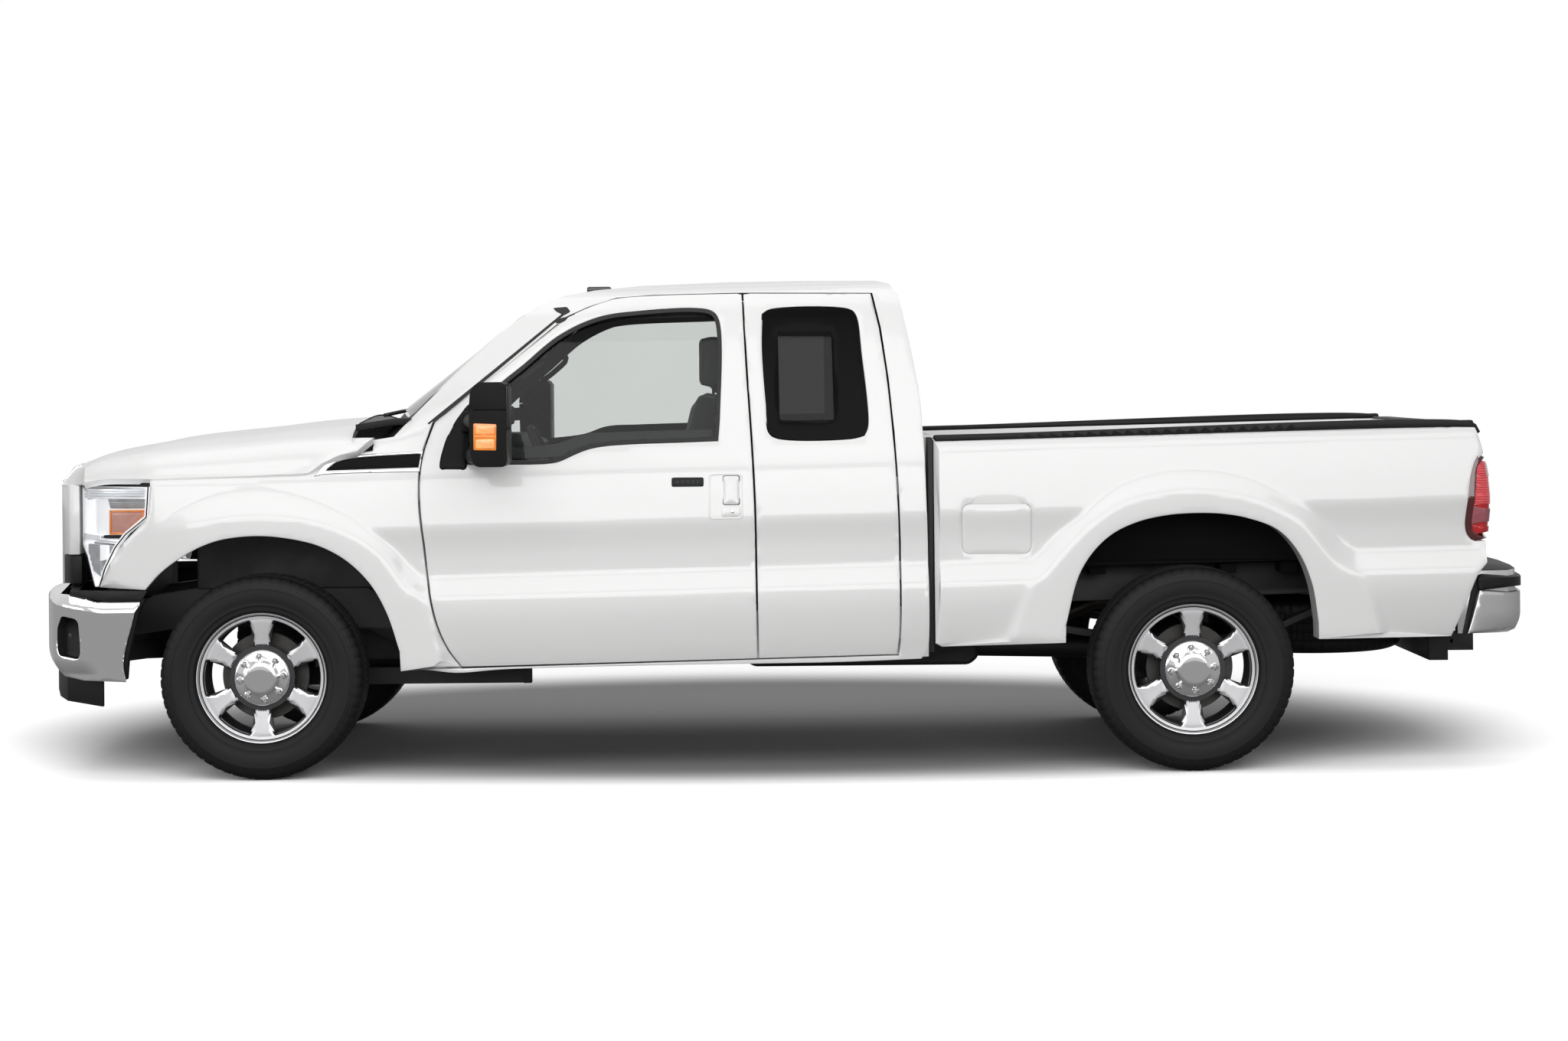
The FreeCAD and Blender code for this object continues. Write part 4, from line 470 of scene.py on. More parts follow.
def sheet_data(outer, holes, outer_fn, inner_fn, step=0.02, lip=0.004, drop=0.0025, lean=0):
    """A thick skin over a side outline. Gives vertices, faces and a mark for inner faces."""
    v, f, near = domain(outer, holes, step, lip)
    x, z = v[:, 0], v[:, 1]
    y0, y1 = outer_fn(x, z), inner_fn(x, z)
    round_off = np.clip(1 - near / lip, 0, 1) ** 2 * drop
    top, low = np.stack([x, y0 - round_off, z], 1), np.stack([x + lean * (y0 - y1), y1, z], 1)
    v, faces, rim = closed_skin(top, low, f)
    return v, faces, [0] * len(f) + [1] * len(f) + [0] * rim


def sheet(name, outer, holes, outer_fn, inner_fn, hand, mats, node=None, body="truck", slot=None, **k):
    v, f, marks = sheet_data(outer, holes, outer_fn, inner_fn, **k)
    if hand < 0:
        v[:, 1] *= -1
    else:
        f = [t[::-1] for t in f]
    return new_object(name, v, f, mats, marks if isinstance(mats, list) else None, 40, body, node, slot)


def layer(name, outer, holes, fn, lift, thick, hand, mats, **k):
    """A skin that lies on the body side, raised from it by lift."""
    return sheet(name, outer, holes, lambda x, z: fn(x, z) + lift, lambda x, z: fn(x, z) + lift - thick, hand,
                 mats, **k)


def join(name, objs, node):
    """Joins pieces of one body into the first of them, standing for a CAD node."""
    base = objs[0]
    bm = bmesh.new()
    mats = []
    for o in objs:
        mats += [m for m in o.data.materials if m not in mats]
        remap = [mats.index(m) for m in o.data.materials]
        for p in o.data.polygons:
            p.material_index = remap[p.material_index]
        bm.from_mesh(o.data)
    base.data.materials.clear()
    for m in mats:
        base.data.materials.append(m)
    bm.to_mesh(base.data)
    bm.free()
    for o in objs[1:]:
        bpy.data.objects.remove(o)
    base.name = name
    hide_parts(node)


def lathe(profile, count=96, closed=True):
    """Turns a profile of (along, radius) pairs round the Y axis. Gives vertices and faces."""
    p = np.array(profile)
    n = len(p)
    a = np.arange(count)[:, None] * FULL_TURN / count
    v = np.stack([p[:, 1] * np.cos(a), np.broadcast_to(p[:, 0], (count, n)), p[:, 1] * np.sin(a)], 2).reshape(-1, 3)
    f = []
    for i in range(count):
        k = (i + 1) % count
        for j in range(n if closed else n - 1):
            q = (j + 1) % n
            f.append((i * n + j, i * n + q, k * n + q, k * n + j))
    return v, f


def prism(points, y0, y1, bevel=0, axis="Y", segments=2):
    """A bmesh prism over a closed outline, its edges rounded."""
    bm = bmesh.new()
    low, high = [[bm.verts.new((p[0], y, p[1]) if axis == "Y" else (p[0], p[1], y)) for p in points] for y in (y0, y1)]
    n = len(points)
    bm.faces.new(low)
    bm.faces.new(high[::-1])
    for i in range(n):
        bm.faces.new((low[i], low[(i + 1) % n], high[(i + 1) % n], high[i]))
    bmesh.ops.recalc_face_normals(bm, faces=bm.faces)
    rounded_edges(bm, [e for e in bm.edges if e.calc_face_angle(0) > math.radians(40)], bevel, segments)
    return bm


def box_bm(lo, hi, bevel=0.004, segments=2):
    return prism([(lo[0], lo[2]), (hi[0], lo[2]), (hi[0], hi[2]), (lo[0], hi[2])], lo[1], hi[1], bevel, "Y", segments)


def merge_bm(parts):
    """Joins bmeshes given with a material index each, or None where their faces have one."""
    bm = bmesh.new()
    for part, index in parts:
        if index is not None:
            for f in part.faces:
                f.material_index = index
        mesh = bpy.data.meshes.new("tmp")
        part.to_mesh(mesh)
        part.free()
        bm.from_mesh(mesh)
        bpy.data.meshes.remove(mesh)
    return bm


def data_bm(v, f):
    bm = bmesh.new()
    vs = [bm.verts.new(tuple(p)) for p in v]
    for t in f:
        try:
            bm.faces.new([vs[i] for i in t])
        except ValueError:
            pass
    return bm


def tube(points, radius, sides=12, squash=1):
    """A round bar along a line of points, as vertices and faces."""
    p = np.array(points, float)
    n = len(p)
    tang = np.gradient(p, axis=0)
    tang /= np.linalg.norm(tang, axis=1)[:, None] + TINY
    up = np.array([0, 0, 1])
    v, f = [], []
    for i in range(n):
        s = np.cross(tang[i], up)
        s /= np.linalg.norm(s) + TINY
        up = np.cross(s, tang[i])
        for k in range(sides):
            a = FULL_TURN * k / sides
            v.append(p[i] + s * math.cos(a) * radius + up * math.sin(a) * radius * squash)
    for i in range(n - 1):
        for k in range(sides):
            q = (k + 1) % sides
            f.append((i * sides + k, i * sides + q, (i + 1) * sides + q, (i + 1) * sides + k))
    return v, f + [tuple(range(sides))[::-1], tuple((n - 1) * sides + k for k in range(sides))]


def curve3(points, step=0.02):
    """Points along a smooth line through 3-D points."""
    pts = [np.array(p, float) for p in points]
    out = []
    for i in range(len(pts) - 1):
        p1, p2 = pts[i], pts[i + 1]
        p0 = pts[i - 1] if i else 2 * p1 - p2
        p3 = pts[i + 2] if i + 2 < len(pts) else 2 * p2 - p1
        k = max(2, int(np.linalg.norm(p2 - p1) / step))
        for j in range(k):
            t = j / k
            out.append(0.5 * (2 * p1 + (p2 - p0) * t + (2 * p0 - 5 * p1 + 4 * p2 - p3) * t**2
                              + (3 * p1 - p0 - 3 * p2 + p3) * t**3))
    out.append(pts[-1])
    return out


# The body side's shape: cross sections as shares of half width and height, from the top down

SECTION_LOW = [(0.971, 0.494), (0.956, 0.451), (0.954, 0.393)]
SWELL = [(0.986, 0.361), (0.988, 0.316), (0.971, 0.259), (0.944, 0.21)]
SHOULDER = [(0.943, 0.617), (0.96, 0.565)]
BED_TOP = [(0.9, 0.652), (0.925, 0.643), (0.948, 0.63), (0.962, 0.565)]
FLAT_END = [(0.954, 0.21)]
FOLD_CUTS = [0.01, -0.4]
SWELL_CUTS = [0.014, 0.014, -0.45, -0.45, 0]
TOP_CUTS = [0, -0.4, -0.45, -0.45]


def section(points, cuts):
    rows = sorted(rounded([(lv(b), sd(a)) for a, b in points], cuts, 8))
    zs, ys = zip(*rows)
    return lambda z: np.interp(z, zs, ys)


cab_section = section([(0.6, 0.966), (0.646, 0.953), (0.693, 0.923), (0.912, 0.652)] + SHOULDER + SECTION_LOW + SWELL,
                      [0, -0.3, -0.4, -0.45, -0.45, -0.45] + FOLD_CUTS + SWELL_CUTS)
fender_section = section([(0.88, 0.7), (0.912, 0.662)] + SHOULDER + SECTION_LOW + FLAT_END,
                         TOP_CUTS + FOLD_CUTS + [-0.4, 0])
bed_section = section(BED_TOP + SECTION_LOW + SWELL, TOP_CUTS + FOLD_CUTS + SWELL_CUTS)

NOSE_PLAN = [(-0.883, 0.591), (-0.831, 0.69), (-0.781, 0.789), (-0.717, 0.867), (-0.613, 0.922),
             (-0.447, 0.961), (-0.26, 0.991), (0.01, 1), (0.2, 1.006)]
FRONT_ARCH = [(-1.13, 0.87), (-0.98, 1.03), (-0.79, 1.17), (-0.57, 1.29), (-0.35, 1.36), (0, 1.39),
              (0.35, 1.35), (0.6, 1.28), (0.85, 1.14), (1.08, 0.91), (1.24, 0.62), (1.36, 0.25)]
REAR_ARCH = [(-1.25, 0.45), (-1.12, 0.93), (-0.97, 1.17), (-0.78, 1.34), (-0.54, 1.45), (-0.27, 1.51),
             (0, 1.53), (0.29, 1.52), (0.55, 1.47), (0.82, 1.36), (1.02, 1.14), (1.15, 0.83), (1.21, 0.45)]
FRONT_FLARE_LOW = [(-1.64, 0.91), (-1.52, 1.16), (-1.37, 1.35), (-1.17, 1.53), (-0.93, 1.66),
                   (-0.64, 1.77), (-0.35, 1.82), (0, 1.84), (0.33, 1.81), (0.64, 1.74),
                   (0.93, 1.63), (1.15, 1.47), (1.36, 1.24), (1.45, 1.09), (1.55, 1)]
FRONT_FLARE_HIGH = [(-1.4, 0.91), (-1.23, 1.08), (-1.03, 1.3), (-0.76, 1.47), (-0.58, 1.52),
                    (-0.4, 1.56), (-0.16, 1.59), (0.13, 1.59), (0.47, 1.55), (0.81, 1.44),
                    (1, 1.34), (1.18, 1.2), (1.35, 0.96), (1.45, 0.86), (1.57, 0.82)]
REAR_FLARE_LOW = [(-1.58, 1.09), (-1.51, 1.14), (-1.43, 1.25), (-1.26, 1.47), (-1.06, 1.66),
                  (-0.77, 1.84), (-0.29, 1.96), (0, 1.98), (0.32, 1.96), (0.68, 1.88),
                  (0.92, 1.78), (1.16, 1.65), (1.34, 1.43), (1.46, 1.24), (1.57, 1.17)]
REAR_FLARE_HIGH = [(-1.53, 0.93), (-1.46, 0.95), (-1.36, 1.06), (-1.17, 1.27), (-0.97, 1.46),
                   (-0.68, 1.65), (-0.25, 1.76), (0.05, 1.77), (0.33, 1.74), (0.62, 1.67),
                   (0.86, 1.56), (1.08, 1.42), (1.26, 1.2), (1.42, 1.03), (1.57, 0.97)]


def smooth_max(a, b, k):
    h = np.clip(0.5 + 0.5 * (b - a) / k, 0, 1)
    return a * (1 - h) + b * h + k * h * (1 - h)


def eased(t):
    t = np.clip(t, 0, 1)
    return t * t * (3 - 2 * t)


def polar(shares):
    x, z = np.array(open_line(shares, 0.05, 60)).T
    a = np.arctan2(z, x)
    order = np.argsort(a)
    return a[order], np.hypot(x, z)[order]


def flare_fn(low, high, axle):
    """How far out a wheel's flare stands: it rises from its outer line to its inner one."""
    outer_line, inner_line = polar(low), polar(high)

    def fn(x, z):
        dx, dz = (x - axle) / TYRE, (z - TYRE) / TYRE
        ang, rad = np.arctan2(dz, dx), np.hypot(dx, dz)
        ang = np.where(ang < -1.6, ang + FULL_TURN, ang)
        rl, rh = np.interp(ang, *outer_line), np.interp(ang, *inner_line)
        t = (rl - rad) / np.maximum(0.02, rl - rh)
        rise = np.where(t < 1, t, 1 + 0.1 * (1 - np.exp(-np.maximum(0, t - 1) * 1.2)))
        soft = smooth_max(rise, np.full_like(rise, -0.6), 0.3)
        soft = -smooth_max(-soft, np.full_like(soft, -1.06), 0.12)
        return np.where(t > -0.3, sd(0.95) + soft * sd(0.04), 0)
    return fn


front_flare = flare_fn(FRONT_FLARE_LOW, FRONT_FLARE_HIGH, XF)
rear_flare = flare_fn(REAR_FLARE_LOW, REAR_FLARE_HIGH, XR)


def smoothed_plan():
    x, y = [st(a) for a, b in NOSE_PLAN], [sd(b) for a, b in NOSE_PLAN]
    t = np.linspace(x[0], x[-1], 200)
    k = np.hanning(15)
    return t, np.convolve(np.pad(np.interp(t, x, y), 7, mode="edge"), k / k.sum(), mode="valid")


PLAN = smoothed_plan()


def cab_y(x, z):
    return cab_section(upright(x, z))


def fender_y(x, z):
    # Behind the wheel the flare runs out into the door's lower swell
    mix = np.where(z < lv(0.45), eased((x - XF - 0.5) / 0.16), 0)
    y = fender_section(upright(x, z)) * (1 - mix) + cab_y(x, z) * mix
    y = smooth_max(y, front_flare(x, z), 0.003)
    return -smooth_max(-y, -np.interp(x, *PLAN), 0.01)


def bed_y(x, z):
    return smooth_max(bed_section(upright(x, z)), rear_flare(x, z), 0.003)


HOOD_SHUT = [(-0.443, 0.602), (-0.164, 0.605), (0.015, 0.608), (0.057, 0.614), (0.07, 0.634),
             (0.088, 0.648), (0.12, 0.658), (0.121, 0.68)]
DOOR_FRONT = [(0.186, 0.716), (0.175, 0.652), (0.172, 0.609), (0.172, 0.55), (0.176, 0.477),
              (0.182, 0.379), (0.191, 0.305), (0.202, 0.258), (0.215, 0.224)]
DOOR_TOP = [(0.66, 0.966), (0.519, 0.969), (0.42, 0.966), (0.381, 0.961), (0.351, 0.943), (0.328, 0.924)]
DOOR_REAR = [(0.682, 0.242), (0.684, 0.272), (0.685, 0.325), (0.685, 0.467), (0.683, 0.584),
             (0.68, 0.682), (0.675, 0.795), (0.668, 0.897)]
SPLIT = [(0.519, 0.969), (0.523, 0.821), (0.528, 0.671), (0.531, 0.547), (0.532, 0.397), (0.533, 0.2355)]
FRONT_WINDOW = spline(xz([
    (0.199, 0.629), (0.308, 0.629), (0.321, 0.633), (0.337, 0.646), (0.351, 0.656), (0.367, 0.662), (0.397, 0.666),
    (0.457, 0.669), (0.492, 0.671), (0.494, 0.726), (0.493, 0.918), (0.484, 0.937), (0.398, 0.936), (0.359, 0.924),
    (0.318, 0.888), (0.278, 0.826), (0.258, 0.796), (0.219, 0.731), (0.204, 0.69)]), 0.014, 50)
REAR_WINDOW = spline(xz([
    (0.546, 0.687), (0.555, 0.675), (0.637, 0.673), (0.65, 0.679), (0.654, 0.698), (0.649, 0.84),
    (0.643, 0.926), (0.636, 0.937), (0.549, 0.938), (0.54, 0.928), (0.539, 0.856), (0.543, 0.739)]), 0.012, 50)
BED_OUTLINE = [(0.7235, 0.669), (1.821, 0.6895), (1.837, 0.65), (1.842, 0.634)]
LAMP_EDGE = [(1.829, 0.623), (1.813, 0.599), (1.797, 0.545), (1.789, 0.484), (1.795, 0.469), (1.814, 0.459),
             (1.846, 0.458)]
BED_END = [(1.847, 0.415), (1.82, 0.392), (1.781, 0.326), (1.746, 0.267)]
FUEL_DOOR = ringed(xz([(0.753, 0.441), (0.827, 0.441), (0.827, 0.541), (0.753, 0.541)]), 0.035, 6)
DOOR_LINE = open_line(xz(DOOR_FRONT))
REAR_DOOR_LINE = open_line(xz(DOOR_REAR), 0.03)
SPLIT_LINE = open_line(xz(SPLIT), 0.03, 60)
SPLIT_GAP = 0.004
DOOR_LIFT = 0.005
INNER_Y = sd(0.971) - 0.112
INNER_SECTION = [(INNER_Y, lv(0.2)), (INNER_Y, lv(0.61)), (sd(0.912), lv(0.652)), (sd(0.693), lv(0.923)),
                 (sd(0.646), lv(0.953)), (sd(0.6), lv(0.966))]


def cab_inner(x, z):
    z0 = upright(x, z)
    ys, zs = zip(*INNER_SECTION)
    frame_depth = 0.046
    share = np.where(z0 > lv(0.652), 1, np.clip((z0 - lv(0.61)) / lv(0.042), 0, 1))
    return np.interp(z0, zs, ys) - frame_depth * share


def fender(hand, word):
    ring = open_line(xz(HOOD_SHUT), 0.015) + xz([(0.151, 0.688), (0.176, 0.704)])
    ring += [(x - 0.008, z) for x, z in DOOR_LINE] + [(XF + 0.542, lv(0.218))]
    ring += open_line(wheel_ring(FRONT_ARCH, XF), 0.014, 60)[::-1]
    ring += xz([(-0.664, 0.388), (-0.614, 0.437), (-0.555, 0.478), (-0.456, 0.526), (-0.451, 0.531), (-0.443, 0.592)])
    return layer("fender_" + word, ring, [], fender_y, 0, 0.034, hand, ["body_paint", "liner_plastic"], step=0.018)


def door(kind, hand, word, ring, window, lean):
    name = kind + "_door_"
    sheet(name + "skin_" + word, ring, [window], cab_y, cab_inner, hand, ["body_paint", "trim_grey"],
          node=name + word, body=name + word, lean=lean)


def bed_side(hand, word):
    ring = open_line(xz(BED_OUTLINE[:2]), 0.03, 60)[:-1] + open_line(xz(BED_OUTLINE[1:]), 0.012, 60)
    ring += open_line(xz(LAMP_EDGE), 0.012, 70) + open_line(xz(BED_END), 0.015) + [(XR + 0.48, lv(0.2655))]
    ring += open_line(wheel_ring(REAR_ARCH, XR), 0.014, 60)[::-1]
    ring += [(XF + 3.106, lv(0.2625)), (st(0.73), lv(0.2555)), (st(0.7235), lv(0.262))]
    holes = [grown(FUEL_DOOR, 0.001)] if hand < 0 else []
    return sheet("bed_side_" + word, ring, holes, bed_y, lambda x, z: np.where(x > st(1.74), 0.812, 0.878), hand,
                 "body_paint")


join("front_fender_skins", [fender(h, w) for h, w in HANDS], "front_fenders")
top_line = [(x - 0.001, z + DOOR_LIFT) for x, z in open_line(xz(DOOR_TOP[1:]))]
rear_top = [(x, z + DOOR_LIFT) for x, z in open_line(xz(DOOR_TOP[:2]), 0.03, 60)[:-1]]
front_ring = DOOR_LINE + [(x - SPLIT_GAP, z) for x, z in SPLIT_LINE[::-1]] + top_line[1:]
rear_ring = [(x + SPLIT_GAP, z) for x, z in SPLIT_LINE] + REAR_DOOR_LINE + rear_top
for h, w in HANDS:
    door("front", h, w, front_ring, FRONT_WINDOW, -0.03)
    door("rear", h, w, rear_ring, REAR_WINDOW, -0.05)
join("bed_side_skins", [bed_side(h, w) for h, w in HANDS], "bed_sides")
layer("fuel_flap", grown(FUEL_DOOR, -0.001), [], bed_y, 0, 0.01, -1, "body_paint", node="fuel_door", body="fuel_door",
      lip=0.003, drop=0.0008)


def grid_bm(top, low):
    """A closed skin between two grids of points."""
    m, n = top.shape[:2]
    off = m * n
    f = []
    for i in range(m - 1):
        for j in range(n - 1):
            a = i * n + j
            f += [(a, a + 1, a + n + 1, a + n), (off + a, off + a + n, off + a + n + 1, off + a + 1)]
    rim = list(range(n)) + [i * n + n - 1 for i in range(1, m)]
    rim += [(m - 1) * n + j for j in range(n - 2, -1, -1)] + [i * n for i in range(m - 2, 0, -1)]
    f += [(a, off + a, off + b, b) for a, b in zip(rim, rim[1:] + rim[:1])]
    return data_bm(np.vstack([top.reshape(-1, 3), low.reshape(-1, 3)]), f)


HOOD_X = (-0.85, -0.447, 0.017, 0.121)
HOOD_COUNTS = (10, 14, 6)
HOOD_ROWS = [
    [(0.84, 0.599), (0.835, 0.62), (0.79, 0.637), (0.493, 0.645), (0, 0.647)],
    [(0.931, 0.59), (0.912, 0.633), (0.838, 0.661), (0.631, 0.674), (0, 0.684)],
    [(0.946, 0.595), (0.929, 0.643), (0.867, 0.679), (0.69, 0.697), (0, 0.713)],
    [(0.944, 0.6), (0.915, 0.654), (0.848, 0.69), (0.69, 0.711), (0, 0.729)]]


def hood():
    """Rows across the hood, each a rounded line, joined by a smooth curve along it. Gives the front row."""
    rows = []
    for row in HOOD_ROWS:
        half = [(sd(a), lv(b)) for a, b in row]
        full = half + [(-y, z) for y, z in reversed(half[:-1])]
        rows.append(np.array(rounded(full, [0] + [-0.45] * (len(full) - 2) + [0], 6)))
    xs = [st(a) for a in HOOD_X]
    along = [i + j / k for i, k in enumerate(HOOD_COUNTS) for j in range(k)] + [3]
    shut = np.array(open_line(xz(HOOD_SHUT), 0.01))
    top, low = [], []
    for t in along:
        i = min(2, int(t))
        u = t - i
        r = [rows[max(0, i - 1)], rows[i], rows[i + 1], rows[min(3, i + 2)]]
        x = xs[i] + (xs[i + 1] - xs[i]) * u
        bow = (r[2] - r[0]) * u * (1 - u) ** 2 - (r[3] - r[1]) * u * u * (1 - u)
        y, z = (r[1] + (r[2] - r[1]) * u + 0.175 * bow).T
        edge = np.interp(x, shut[:, 0], shut[:, 1]) + 0.008
        z = np.maximum(z, edge) - 0.018 * max(0, 1 - t / 0.5) ** 2.2
        # The front edge bends back at the sides with the nose
        x = x + 0.115 * (np.abs(y) / sd(0.84)) ** 1.3 * max(0, 1 - t / 0.9)
        # The rear edge between the wings stands forward of the screen
        x = np.where(np.abs(y) < sd(0.88), np.minimum(x, st(0.096)), x)
        top.append(np.stack([x, y, z], 1))
        low.append(np.stack([x, y * 0.985, z - 0.022], 1))
    bm = grid_bm(np.array(top), np.array(low))
    bmesh.ops.remove_doubles(bm, verts=bm.verts, dist=0.0001)
    from_bmesh("hood_skin", bm, "body_paint", smooth=50, body="hood", node="hood")
    return top[0][np.argsort(top[0][:, 1])]


HOOD_EDGE = hood()


# Wheels and tyres

def circle(radius, count, x=0, z=0):
    return [(x + radius * math.cos(FULL_TURN * i / count), z + radius * math.sin(FULL_TURN * i / count))
            for i in range(count)]


def spoke_window(turn):
    """One rounded opening between two spokes, centred on an angle from the horizontal."""
    half = [(0.124, -0.0366), (0.216, -0.07), (0.2235, -0.035)]
    ring = half + [(0.2258, 0)] + [(a, -b) for a, b in half[::-1]]
    line = ringed(ring, [0.012, 0.015, -0.45, -0.45, -0.45, 0.015, 0.012], 5)
    c, s = math.cos(turn), math.sin(turn)
    return [(a * c - b * s, a * s + b * c) for a, b in line]


def wheel_face():
    """The spokes' bright face with its dark edges, as vertices, faces and finishes."""
    bevel = 0.006
    windows = [spoke_window(math.radians(60 * i)) for i in range(6)]
    v, f, near = domain(circle(0.2385, 120), windows, 0.009, bevel)
    r = np.hypot(*v.T)
    face = 0.0905 + 0.006 * np.clip((r - 0.12) / 0.1, 0, 1) - 0.009 * eased((0.128 - r) / 0.006)
    face -= np.clip(1 - edge_distance(v, windows) / bevel, 0, 1) ** 2 * bevel
    points, faces, rim = closed_skin(np.insert(v, 1, face, axis=1), np.insert(v, 1, 0.055, axis=1), f)
    c = v[f].mean(axis=1)
    dark = (edge_distance(c, windows) < 0.0052) | (np.hypot(*c.T) < 0.1265)
    return points, faces, dark.astype(int).tolist() + [1] * (len(f) + rim)


FACE = wheel_face()
LIP = [(0.0965, 0.237), (0.0985, 0.2395), (0.1065, 0.2455), (0.1115, 0.2475), (0.112, 0.251), (0.1085, 0.2525),
       (0.103, 0.252), (0.101, 0.229), (0.08, 0.2265), (0.08, 0.2235)]
BARREL = [(0.096, 0.2262), (0.06, 0.224), (0, 0.219), (-0.06, 0.22), (-0.1, 0.23), (-0.1115, 0.246),
          (-0.1115, 0.25), (-0.1035, 0.25), (-0.1, 0.2282), (0.096, 0.2282)]
HUB = [(0.04, 0.03), (0.086, 0.03), (0.086, 0.126), (0.04, 0.126)]
CAP = [(0.084, 0), (0.084, 0.106), (0.088, 0.1078), (0.0925, 0.1075), (0.0965, 0.104), (0.0985, 0.098),
       (0.101, 0.076), (0.104, 0.069), (0.13, 0.0665), (0.1385, 0.064), (0.142, 0.059), (0.1432, 0.05),
       (0.144, 0.03), (0.1443, 0.0005)]
ROTOR = [(0, 0.075), (-0.006, 0.08), (-0.006, 0.168), (-0.014, 0.17), (-0.014, 0.162), (-0.019, 0.162),
         (-0.019, 0.17), (-0.03, 0.168), (-0.03, 0.062), (0.05, 0.062), (0.05, 0.058), (0, 0.058)]
LUG = [(0.095, 0), (0.095, 0.0168), (0.0985, 0.0166), (0.1, 0.015), (0.101, 0.0122), (0.11, 0.0112),
       (0.113, 0.0085), (0.1137, 0.0005)]
TREAD = [(0, 0.396), (0.017, 0.396), (0.019, 0.388), (0.027, 0.388), (0.029, 0.3957), (0.06, 0.395),
         (0.062, 0.387), (0.07, 0.3866), (0.072, 0.3944), (0.09, 0.3932), (0.101, 0.3912), (0.111, 0.387),
         (0.119, 0.38), (0.1245, 0.3715), (0.1282, 0.366), (0.1283, 0.363), (0.1308, 0.36), (0.1335, 0.348),
         (0.1353, 0.347), (0.1358, 0.344), (0.1345, 0.3425), (0.135, 0.33), (0.1345, 0.315), (0.132, 0.3),
         (0.1285, 0.288), (0.129, 0.285), (0.1285, 0.282), (0.125, 0.28), (0.121, 0.27), (0.1215, 0.266),
         (0.1205, 0.262), (0.115, 0.259), (0.1085, 0.254), (0.104, 0.25), (0.1, 0.229)]
TREAD_WIDTH = 0.275
LUG_CIRCLE = 0.083
SPARE_RIM = [(0.04, 0), (0.04, 0.06), (0.02, 0.09), (0.02, 0.2), (0.06, 0.222), (0.075, 0.245), (0.07, 0.252),
             (-0.07, 0.252), (-0.075, 0.245), (-0.01, 0.222), (-0.01, 0.08), (0.01, 0)]


def wheel(centre, hand, name, node, body):
    parts = [FACE]
    for profile, count, finish, closed in ((LIP, 144, 0, True), (BARREL, 96, 1, True), (HUB, 72, 1, True),
                                           (CAP, 72, 2, False), (ROTOR, 96, 3, True)):
        v, f = lathe(profile, count, closed)
        parts.append((v, f, [finish] * len(f)))
    for i in range(8):
        a = math.radians(45 * i + 6)
        v, f = lathe(LUG, 18, closed=False)
        parts.append((v + np.array([math.cos(a), 0, math.sin(a)]) * LUG_CIRCLE, f, [2] * len(f)))
    verts, faces, marks = [], [], []
    base = 0
    for v, f, finish in parts:
        verts.append(v * np.array([1, hand, 1]) + np.array(centre))
        faces += [tuple(base + i for i in (t[::-1] if hand < 0 else t)) for t in f]
        marks += finish
        base += len(v)
    bm = data_bm(np.vstack(verts), faces)
    for face, finish in zip(bm.faces, marks):
        face.material_index = finish
    return from_bmesh(name, bm, ["wheel_alloy", "alloy_dark", "chrome", "disc_steel"], smooth=32, body=body, node=node)


def tyre(centre, name, width=TREAD_WIDTH, lying=False, **k):
    """A tyre with grooves round its tread and short cuts across it."""
    share = width / TREAD_WIDTH
    half = [(y * share, r) for y, r in TREAD]
    full = np.array([(-y, r) for y, r in half[:0:-1]] + half)
    side, radius = np.abs(full[:, 0]) > 0.086 * share, full[:, 1]
    depth = np.where((radius > 0.372) & side, 0.0045, np.where((radius > 0.362) & (radius <= 0.372), 0.003, 0))
    fine = np.where((radius > 0.39) & ~side, 0.003, 0)
    count = 300
    v, f = lathe(full, count)
    step = np.arange(count)[:, None]
    cut = ((step % 5 == 0) * depth + (step % 3 == 0) * fine).reshape(-1)
    r = np.hypot(v[:, 0], v[:, 2])
    v = v * np.where([[True, False, True]], ((r - cut) / r)[:, None], 1)
    if lying:
        v = v[:, [0, 2, 1]]
    return from_bmesh(name, data_bm(v + np.array(centre), f), "tyre", smooth=38, **k)


for h, w in HANDS:
    ends = (("front_", (XF, h * 0.8675, TYRE)), ("rear_", (XR, h * 0.8535, TYRE)))
    for end, centre in ends:
        wheel(centre, h, "wheel_" + end + w, "rim_" + end + w, end + "wheel_" + w)
    for end, centre in ends:
        tyre(centre, "tread_" + end + w, node="tyre_" + end + w, body=end + "wheel_" + w)


def spare_wheel():
    lo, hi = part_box("spare_wheel")
    centre = [(a + b) / 2 for a, b in zip(lo, hi)]
    tread = tyre(centre, "spare_tread", hi[2] - lo[2], True)
    v, f = lathe(SPARE_RIM, 96, closed=False)
    rim = from_bmesh("spare_rim", data_bm(v[:, [0, 2, 1]] + np.array(centre), f), "chassis_paint", smooth=32)
    join("spare_wheel_skin", [tread, rim], "spare_wheel")


spare_wheel()


# Glass and its black borders

